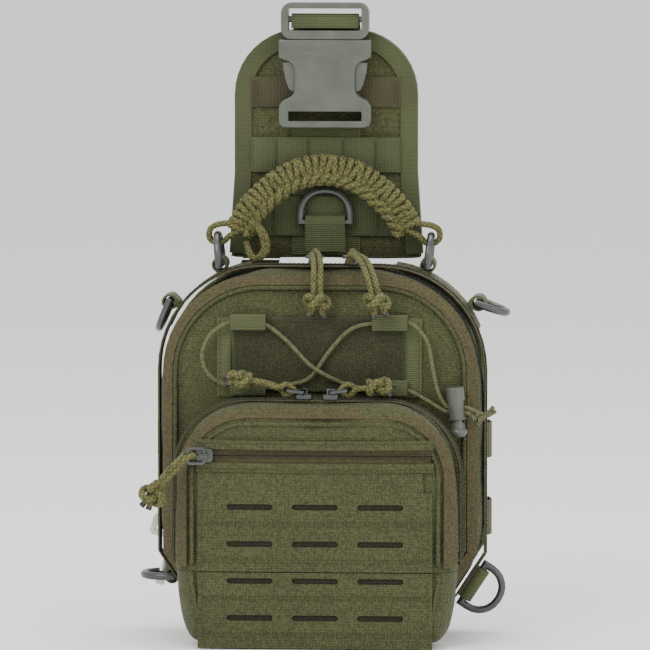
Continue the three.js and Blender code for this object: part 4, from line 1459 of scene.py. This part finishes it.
@dataclass
class FrontPocket:
    """The front pocket: a soft tray and front, the slotted face, its zips and seams."""

    face_y: float = -62.0
    rear_y: float = -16.3
    zip_y: float = -38.3
    fold_z: float = 52.0
    wall: float = 2.0

    def build(self, palette: Palette, sewing: Stitching) -> None:
        """Make and dress the pocket.

        Args:
            palette: the finishes.
            sewing: the stitch rows.
        """
        block = outline_block("pocket_block", POCKET.points(0.8, foot=-18), self.face_y + 0.8, self.rear_y, 9, 1.0, 0.4)

        def hold(p: Vector) -> Vector:
            flat = p.z < 0.143 and abs(p.x) < 0.081
            p.y = min(max(p.y, (self.face_y + (0.0 if flat else -0.8)) * MM), self.rear_y * MM)
            p.z = min(max(p.z, 0.0), 0.1658)
            p.x = min(max(p.x, -0.098), 0.098)
            return p

        swell(block, Puff(5 * MM, 3.5, 2.6 * MM, 0.6 * MM, 17.0), (-96, -62.1, 0), (96, -16.3, 165), hold)
        zip_plane = (0, self.zip_y * MM, 0)
        front = sliced(block, "pocket_front_cloth", [(zip_plane, (0, 1, 0)), ((0, 0, self.fold_z * MM), (0, 0, -1))], self.wall * MM)
        rear = sliced(block, "pocket_tray_rear", [((0, (self.zip_y + 0.3) * MM, 0), (0, -1, 0))], 0)
        lower = sliced(block, "pocket_tray_lower", [((0, (self.zip_y + 0.3) * MM, 0), (0, 1, 0)), ((0, 0, (self.fold_z - 0.3) * MM), (0, 0, 1))], 0)
        tray = joined("pocket_tray_cloth", [rear, lower])
        pick(tray)
        bpy.ops.object.mode_set(mode="EDIT")
        bpy.ops.mesh.select_all(action="SELECT")
        bpy.ops.mesh.remove_doubles(threshold=0.00005)
        bpy.ops.object.mode_set(mode="OBJECT")
        give_wall(tray, self.wall * MM)
        bpy.data.objects.remove(block)
        for piece, node, body in ((front, "pocket_front", "pocket"), (tray, "pocket_tray", "front")):
            settle(piece, palette.cloth, body, 60)
            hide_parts(node)
        softened("pocket_zip_tape", palette.tape, "pocket", 0.3 * MM)
        ZipCoil().build("pocket_zip", [(POCKET.line(-38.8, -1.6, 57), "pocket")], palette)
        gusset_tape("pocket_gusset_tape", POCKET, 53.0, ((-9.6, 60.6), (-2.9, 54.9)), "pocket", palette)
        edge = POCKET.line(-61.2, 13.2, 54)
        rod("pocket_front_piping", edge, 1.4 * MM, palette.cloth, "pocket", 8)
        low = [p for p in POCKET.line(-61.2, 13.2, 3)]
        for side in (-1, 1):
            part = [p for p in low if p.z < 0.0515 and p.x * side > 0]
            rod(f"pocket_tray_piping_{'right' if side > 0 else 'left'}", part, 1.4 * MM, palette.cloth, "front", 8)
        sewing.row("pocket_edge_stitches", POCKET.line(-48.0, 0.6, 56), "pocket")
        self.face(palette, sewing)
        self.face_zip(palette, sewing)

    def face(self, palette: Palette, sewing: Stitching) -> None:
        """The slotted face with its stitch lines.

        Args:
            palette: the finishes.
            sewing: the stitch rows.
        """
        for node, body in (("molle_panel_lower", "front"), ("molle_panel_upper", "pocket")):
            softened(node, palette.cloth, body, 0.45 * MM)
        # painted shade: a near-black strip behind each row of slots stands for the shade inside them
        for row, body in enumerate(("front", "front", "pocket", "pocket")):
            middle = 21 + 25 * row
            route = [Vector((x, -62.2, middle)) * MM for x in range(-64, 65, 8)]
            shade_sheet = strip(f"slot_backing_{row}", route, Vector((0, 0, 1)), 9 * MM, 0.3 * MM)
            settle(shade_sheet, palette.dark, body)
        route = [Vector((x, -62.9, 114.4)) * MM for x in range(-79, 80, 8)]
        settle(strip("face_upper_cloth", route, Vector((0, 0, 1)), 17.5 * MM, 1.2 * MM), palette.cloth, "pocket")
        y = -63.75
        for z, body in ((8.5, "front"), (33.5, "front"), (58.5, "pocket"), (83.5, "pocket")):
            for k, dz in enumerate((0.0, 2.2)):
                line = [Vector((x, y, z + dz)) * MM for x in range(-76, 77, 8)]
                sewing.row(f"face_stitches_{round(z)}_{k}", line, body)
        for side in (-1, 1):
            for body, low, high in (("front", 3, 50), ("pocket", 55, 104)):
                line = [Vector((side * 76.5, y, z)) * MM for z in range(low, high, 6)]
                sewing.row(f"face_edge_{body}_{'right' if side > 0 else 'left'}", line, body)

    def face_zip(self, palette: Palette, sewing: Stitching) -> None:
        """The zip across the face, with its tape, coil and folded welts.

        Args:
            palette: the finishes.
            sewing: the stitch rows.
        """
        softened("face_zip_tape", palette.tape, "pocket", 0.3 * MM)
        rows = [[Vector((x, -63.9, 131 + dz)) * MM for x in range(-78, 79, 4)] for dz in (-0.9, 0.9)]
        ZipCoil().build("face_zip", [(r, "pocket") for r in rows], palette)
        for name, z, sign in (("upper", 138.4, 1), ("lower", 123.2, -1)):
            route = [Vector((x, -64.1, z - 0.8 * math.cos(x / 50))) * MM for x in range(-80, 81, 8)]
            made = strip(f"face_zip_welt_{name}", route, Vector((0, 0.12 * sign, 1)), 6.5 * MM, 1.7 * MM)
            settle(made, palette.cloth, "pocket")
            line = [p + Vector((0, -1.0, sign * 1.2)) * MM for p in route]
            sewing.row(f"face_zip_stitches_{name}", line, "pocket")


@dataclass
class PatchAndLaceLoops:
    """The loop patch and the webbing sleeves that the elastic cord passes."""

    def build(self, palette: Palette, sewing: Stitching) -> None:
        """Dress the patch and the sleeves.

        Args:
            palette: the finishes.
            sewing: the stitch rows.
        """
        patch = outline_block("loop_patch_pile", [(-58, 170), (-58, 220), (58, 220), (58, 170)], -19.7, -18.0, 0.6, 0)
        settle(patch, palette.pile, "front")
        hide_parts("loop_patch")
        corners = [(-56.5, 171.5), (56.5, 171.5), (56.5, 218.5), (-56.5, 218.5), (-56.5, 171.5)]
        line: list[Vector] = []
        for (x0, z0), (x1, z1) in zip(corners, corners[1:]):
            line += [Vector((x0 + (x1 - x0) * k / 10, -19.8, z0 + (z1 - z0) * k / 10)) * MM for k in range(10)]
        sewing.row("patch_stitches", line, "front", 2.6 * MM)
        for side, x in (("left", -48.0), ("right", 48.0)):
            softened(f"lace_webbing_{side}", palette.web_up, "front", 0.4 * MM)
            sign = 1 if x > 0 else -1
            route = [Vector((sign * 63.5, -16.9, z)) * MM for z in range(166, 224, 6)]
            settle(strip(f"vertical_webbing_{side}", route, Vector((1, 0, 0)), 12 * MM, 1.3 * MM), palette.web_light, "front")
            sewing.row(f"vertical_webbing_stitches_{side}", [p + Vector((sign * 4, -0.8, 0)) * MM for p in route], "front")


# ---------------------------------------------------------------- strap and hardware


@dataclass
class ShoulderStrap:
    """The padded strap with its binding, webbing, rows and elastic band."""

    half: float = 62.0
    foot_half: float = 66.0
    foot_z: float = 254.2
    top_z: float = 411.2
    radius: float = 44.0
    front_y: float = 52.3
    rear_y: float = 60.8

    def outline(self, inset: float) -> list[tuple[float, float]]:
        """The panel's outline.

        Args:
            inset: how far inside it lies.

        Returns:
            Points in X and Z, in millimetres, from the lower left round to the lower right.
        """
        w, r, top = self.half - inset, self.radius - inset, self.top_z - inset
        right = [(self.foot_half - inset, self.foot_z + inset), (w, self.foot_z + 60)]
        right += [(w - r + r * math.cos(a), top - r + r * math.sin(a)) for a in (math.pi / 2 * k / 10 for k in range(11))]
        return [(-x, z) for x, z in right] + [(x, z) for x, z in reversed(right)]

    def line(self, inset: float, y: float) -> list[Vector]:
        """The closed outline as close points.

        Args:
            inset: how far inside it lies.
            y: the depth.

        Returns:
            Points in metres.
        """
        corners = self.outline(inset)
        out: list[Vector] = []
        for (x0, z0), (x1, z1) in zip(corners, [*corners[1:], corners[0]]):
            count = max(1, round(math.dist((x0, z0), (x1, z1)) / 4))
            out += [Vector((x0 + (x1 - x0) * k / count, y, z0 + (z1 - z0) * k / count)) * MM for k in range(count)]
        return out

    def build(self, palette: Palette, sewing: Stitching) -> None:
        """Make and dress the strap.

        Args:
            palette: the finishes.
            sewing: the stitch rows.
        """
        pad = outline_block("strap_pad", self.outline(1.5), self.front_y + 0.8, self.rear_y - 0.8, 2.0, 2.0)

        def hold(p: Vector) -> Vector:
            middle = abs(p.x) < 0.030
            p.y = min(max(p.y, (self.front_y + (0.0 if middle else -1.2)) * MM), (self.rear_y + 0.4) * MM)
            return p

        swell(pad, Puff(3.5 * MM, 4.0, 3.0 * MM, 0.5 * MM, 29.0), (-65.5, 52.4, 254.6), (65.5, 60.7, 410.8), hold)
        settle(pad, palette.cloth, "strap", 60)
        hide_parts("strap_panel")
        wide, deep, thick = 10.5, 4.6, 1.0
        section = [(wide, -deep - thick), (-thick, -deep - thick), (-thick, deep + thick), (wide, deep + thick),
                   (wide, deep), (0, deep), (0, -deep), (wide, -deep)]
        section = [(x * MM, y * MM) for x, y in section]
        edge = [p for p in self.line(0.4, (self.front_y + self.rear_y) / 2) if p.z > 0.2551]
        binding = swept("strap_binding", edge, section, up=Vector((0, -1, 0)))
        settle(binding, palette.binding, "strap", 40)
        for k, inset in enumerate((2.0, 9.0)):
            loop = self.line(inset, 51.2)
            sewing.row(f"strap_binding_stitches_{k}", [*loop, loop[0]], "strap")
            loop = self.line(inset, 62.0)
            sewing.row(f"strap_rear_stitches_{k}", [*loop, loop[0]], "strap")
        softened("strap_webbing_front", palette.web_up, "strap", 0.4 * MM)
        softened("strap_webbing_rear", palette.web_slant, "strap", 0.4 * MM)
        softened("sling_webbing", palette.web_slant, "back", 0.4 * MM)
        softened("adjuster_webbing", palette.web_up, "plug", 0.4 * MM)
        self.row("lower", 284.2, 27, (-54, -36, -13, 13, 36, 54), palette, sewing)
        self.row("upper", 326.2, 24, (-51, -34, -12, 12, 34, 51), palette, sewing)
        band = [Vector((x, 51.0 - 0.5 * math.cos(x / 24), 369)) * MM for x in range(-52, 53, 4)]
        settle(strip("elastic_band", band, Vector((0, 0, 1)), 21 * MM, 1.3 * MM), palette.band, "strap")
        for side in (-1, 1):
            for k, dx in enumerate((0.0, 2.5)):
                line = [Vector((side * (47 + dx), 50.1, z)) * MM for z in range(360, 379, 4)]
                sewing.row(f"elastic_band_tack_{'right' if side > 0 else 'left'}_{k}", line, "strap", 2.4 * MM)
            edge_line = [Vector((side * 21.5, 50.3, z)) * MM for z in range(259, 346, 6)]
            sewing.row(f"strap_webbing_stitches_{'right' if side > 0 else 'left'}", edge_line, "strap")

    def row(self, name: str, z: float, width: float, tacks: Sequence[float], palette: Palette, sewing: Stitching) -> None:
        """A row of webbing across the strap, sewn down at its tacks and arched between them.

        Args:
            name: lower or upper.
            z: its middle height.
            width: its width.
            tacks: where it is sewn down.
            palette: the finishes.
            sewing: the stitch rows.
        """
        route: list[Vector] = []
        for a, b in zip(tacks, tacks[1:]):
            for k in range(8):
                t = k / 8
                rise = 1.6 * math.sin(math.pi * t) ** 0.7
                route.append(Vector((a + (b - a) * t, 50.0 - rise, z)) * MM)
        route.append(Vector((tacks[-1], 50.0, z)) * MM)
        made = strip(f"strap_row_webbing_{name}", route, Vector((0, 0, 1)), width * MM, 1.3 * MM)
        settle(made, palette.web_across, "strap")
        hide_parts(f"strap_row_{name}")
        for k, x in enumerate(tacks):
            shift = 1.5 if k == 0 else -1.5 if k == len(tacks) - 1 else 0.0
            for j, dx in enumerate((-0.7, 0.7)):
                line = [Vector((x + shift + dx, 49.0, z + d)) * MM for d in range(-round(width / 2) + 2, round(width / 2) - 1, 3)]
                sewing.row(f"strap_row_{name}_tack_{k}_{j}", line, "strap", 2.2 * MM)


@dataclass
class Braid:
    """The carry handle: a flat knotted braid of cord between the two top rings."""

    ring_x: float = 71.0
    ring_y: float = 35.0
    half_span: float = 58.0
    crest: float = 317.0
    cord: float = 2.0
    pitch: float = 4.3

    def spine(self) -> list[Vector]:
        """The middle line of the band.

        Returns:
            Points in millimetres.
        """
        shape = ((-1, -42), (-0.8, -24), (-0.42, -6), (0, 0), (0.42, -6), (0.8, -24), (1, -42))
        route = [(self.half_span * x, self.ring_y, self.crest + z) for x, z in shape]
        return spline_points(route, 0.5)

    def place(self, spine: Sequence[Vector], s: float, across: float, front: float) -> Vector:
        """A point beside the middle line.

        Args:
            spine: the middle line.
            s: how far along it, from 0 to 1.
            across: outwards, in millimetres.
            front: towards the front, in millimetres.

        Returns:
            The point in metres.
        """
        where = min(max(s, 0.0), 1.0) * (len(spine) - 2)
        k = int(where)
        here = spine[k].lerp(spine[k + 1], where - k)
        run = (spine[k + 1] - spine[k]).normalized()
        out = Vector((-run.z, 0, run.x))
        return (here + out * across + Vector((0, -front, 0))) * MM

    def build(self, palette: Palette) -> None:
        """Make the braid and its end loops.

        Args:
            palette: the finishes.
        """
        spine = self.spine()
        length = sum((b - a).length for a, b in zip(spine, spine[1:]))
        turns = int(length / self.pitch)
        wrap: list[Vector] = []
        for k in range(turns * 20):
            t = k / 20
            angle = 2 * math.pi * t
            lean = ((t / 4.6) % 1.0 - 0.5) * 4.4 + 1.2
            shift = lean * math.cos(angle) * (1 if math.sin(angle) > 0 else 0.3)
            wrap.append(self.place(spine, (t * self.pitch + shift) / length, 7.4 * math.cos(angle) + 1.2, 3.1 * math.sin(angle)))
        pieces = [swept("wrap", wrap, round_section(self.cord * 1.15 * MM, 8))]
        for phase in (0.0, math.pi):
            chain = []
            for k in range(301):
                angle = 2 * math.pi * 10 * k / 300 + phase
                chain.append(self.place(spine, k / 300, -6.6 + 2.2 * math.sin(angle), 3.6 + 1.7 * math.cos(angle)))
            pieces.append(swept("chain", chain, round_section(self.cord * 1.2 * MM, 8)))
        core = [self.place(spine, k / 60, 0, 0) for k in range(61)]
        pieces.append(swept("core", core, [(x * 1.9, y * 0.6) for x, y in round_section(3.4 * MM, 10)], up=Vector((0, -1, 0))))
        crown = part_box("handle_ring_right")[1][2] * 1000 - 2.5
        for side in (-1, 1):
            x = self.ring_x + 2
            shape = [(self.half_span - 2, self.crest - 41), (x - 8, crown - 1), (x - 4.6, crown - 4.4), (x + 0.5, crown - 5.6),
                     (x + 5.4, crown - 2.6), (x + 5.2, crown + 3.6), (x, crown + 6.8), (x - 8, crown + 8), (self.half_span - 2, self.crest - 35)]
            for shift in (-2.1, 2.1):
                loop = spline_points([tuple(Vector((side * a, self.ring_y + shift, b)) * MM) for a, b in shape], 1.2 * MM)
                pieces.append(swept("loop", loop, round_section(self.cord * MM, 10)))
        for shift in (0.0, 2.6):
            tail = [(-49, 26.5 - shift / 3, 282), (-41 - shift, 25, 275), (-38 - shift, 24.5, 264), (-43 - shift, 24.5, 257), (-50, 25, 258 + shift), (-53, 27, 268)]
            pieces.append(swept("tail", spline_points([tuple(Vector(p) * MM) for p in tail], 1.2 * MM), round_section(1.9 * MM, 10)))
        braid = settle(joined("carry_handle_braid", pieces), palette.cord, "handle", 60)
        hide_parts("carry_handle")


@dataclass
class Hardware3D:
    """The buckle, rings, tabs and hook: the hard pieces with rounded edges and small details."""

    rings: tuple[str, ...] = field(default=("handle_ring_left", "handle_ring_right", "upper_ring_left", "upper_ring_right",
                                            "lower_ring_left", "lower_ring_right", "strap_ring"))

    def build(self, palette: Palette, sewing: Stitching) -> None:
        """Dress the hard pieces and their tabs.

        Args:
            palette: the finishes.
            sewing: the stitch rows.
        """
        for ring in self.rings:
            metal = palette.metal
            softened(ring, metal, ring, 0.5 * MM, 3)
        for tab, body in (("handle_tab_left", "back"), ("handle_tab_right", "back"), ("upper_tab_left", "back"),
                          ("upper_tab_right", "back"), ("lower_tab_left", "back"), ("lower_tab_right", "back")):
            softened(tab, palette.web_light, body, 0.35 * MM)
        softened("strap_ring_tab", palette.web_up, "strap", 0.35 * MM)
        sewing.box("strap_ring_box", Vector((0, 43.0, 266)) * MM, Vector((1, 0, 0)), Vector((0, 0, 1)), (21 * MM, 9 * MM), "strap")
        for node, body, bevel in (("buckle_socket", "strap", 1.5), ("buckle_plug", "plug", 1.2),
                                  ("buckle_prong_left", "prong_left", 0.8), ("buckle_prong_right", "prong_right", 0.8)):
            softened(node, palette.plastic, body, bevel * MM, 4)
        self.buckle_ribs(palette)
        softened("snap_hook", palette.steel, "back", 0.5 * MM, 3)
        softened("hook_gate", palette.steel, "gate", 0.3 * MM, 2)

    def buckle_ribs(self, palette: Palette) -> None:
        """Two raised ribs on the buckle's front, each modelled on its own as a bevelled block.

        Args:
            palette: the finishes.
        """
        low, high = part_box("buckle_socket")
        front = low[1]
        for k, (z0, z1, half) in enumerate(((low[2] + 0.0165, low[2] + 0.0515, 0.0145), (low[2] + 0.0535, low[2] + 0.0575, 0.026))):
            deselect_all()
            bpy.ops.mesh.primitive_plane_add(size=1, rotation=(math.pi / 2, 0, 0), location=(0, front - 0.0001, (z0 + z1) / 2))
            rib = bpy.context.object
            rib.name = f"buckle_rib_{k}"
            rib.scale = (half * 2, z1 - z0, 1)
            bpy.ops.object.transform_apply(location=True, rotation=True, scale=True)
            bpy.ops.object.mode_set(mode="EDIT")
            bpy.ops.mesh.select_all(action="SELECT")
            bpy.ops.mesh.extrude_region_move(TRANSFORM_OT_translate={"value": (0, 0.0012, 0)})
            bpy.ops.object.mode_set(mode="OBJECT")
            outward(rib)
            rounding = rib.modifiers.new("Rounding", "BEVEL")
            rounding.width = 0.0011 if k else 0.0016
            rounding.segments = 4
            apply_modifiers(rib)
            settle(rib, palette.plastic, "strap")


def main() -> None:
    """Load the frame, build every sub-assembly in order and finish."""
    logging.basicConfig(level=logging.INFO, format="%(message)s")
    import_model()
    palette = Palette()
    Studio().build()
    for pull in PULLS:
        pull.build(palette)
        LOG.info("built %s pull", pull.name)
    LacedElastic().build(palette)
    LOG.info("built laced elastic")
    sewing = Stitching(palette)
    steps: tuple[tuple[str, Callable[[], None]], ...] = (
        ("pack body", lambda: PackBody().build(palette, sewing)),
        ("main zip", lambda: ZipCoil().build("main_zip", [(PACK.line(13.1, -1.9, 30), "front"), (PACK.line(14.9, -1.9, 30), "back")], palette)),
        ("front pocket", lambda: FrontPocket().build(palette, sewing)),
        ("patch and lace loops", lambda: PatchAndLaceLoops().build(palette, sewing)),
        ("shoulder strap", lambda: ShoulderStrap().build(palette, sewing)),
        ("carry handle", lambda: Braid().build(palette)),
        ("hardware", lambda: Hardware3D().build(palette, sewing)),
    )
    for name, step in steps:
        step()
        LOG.info("built %s", name)
    sewing.done()


if __name__ == "__main__":
    main()
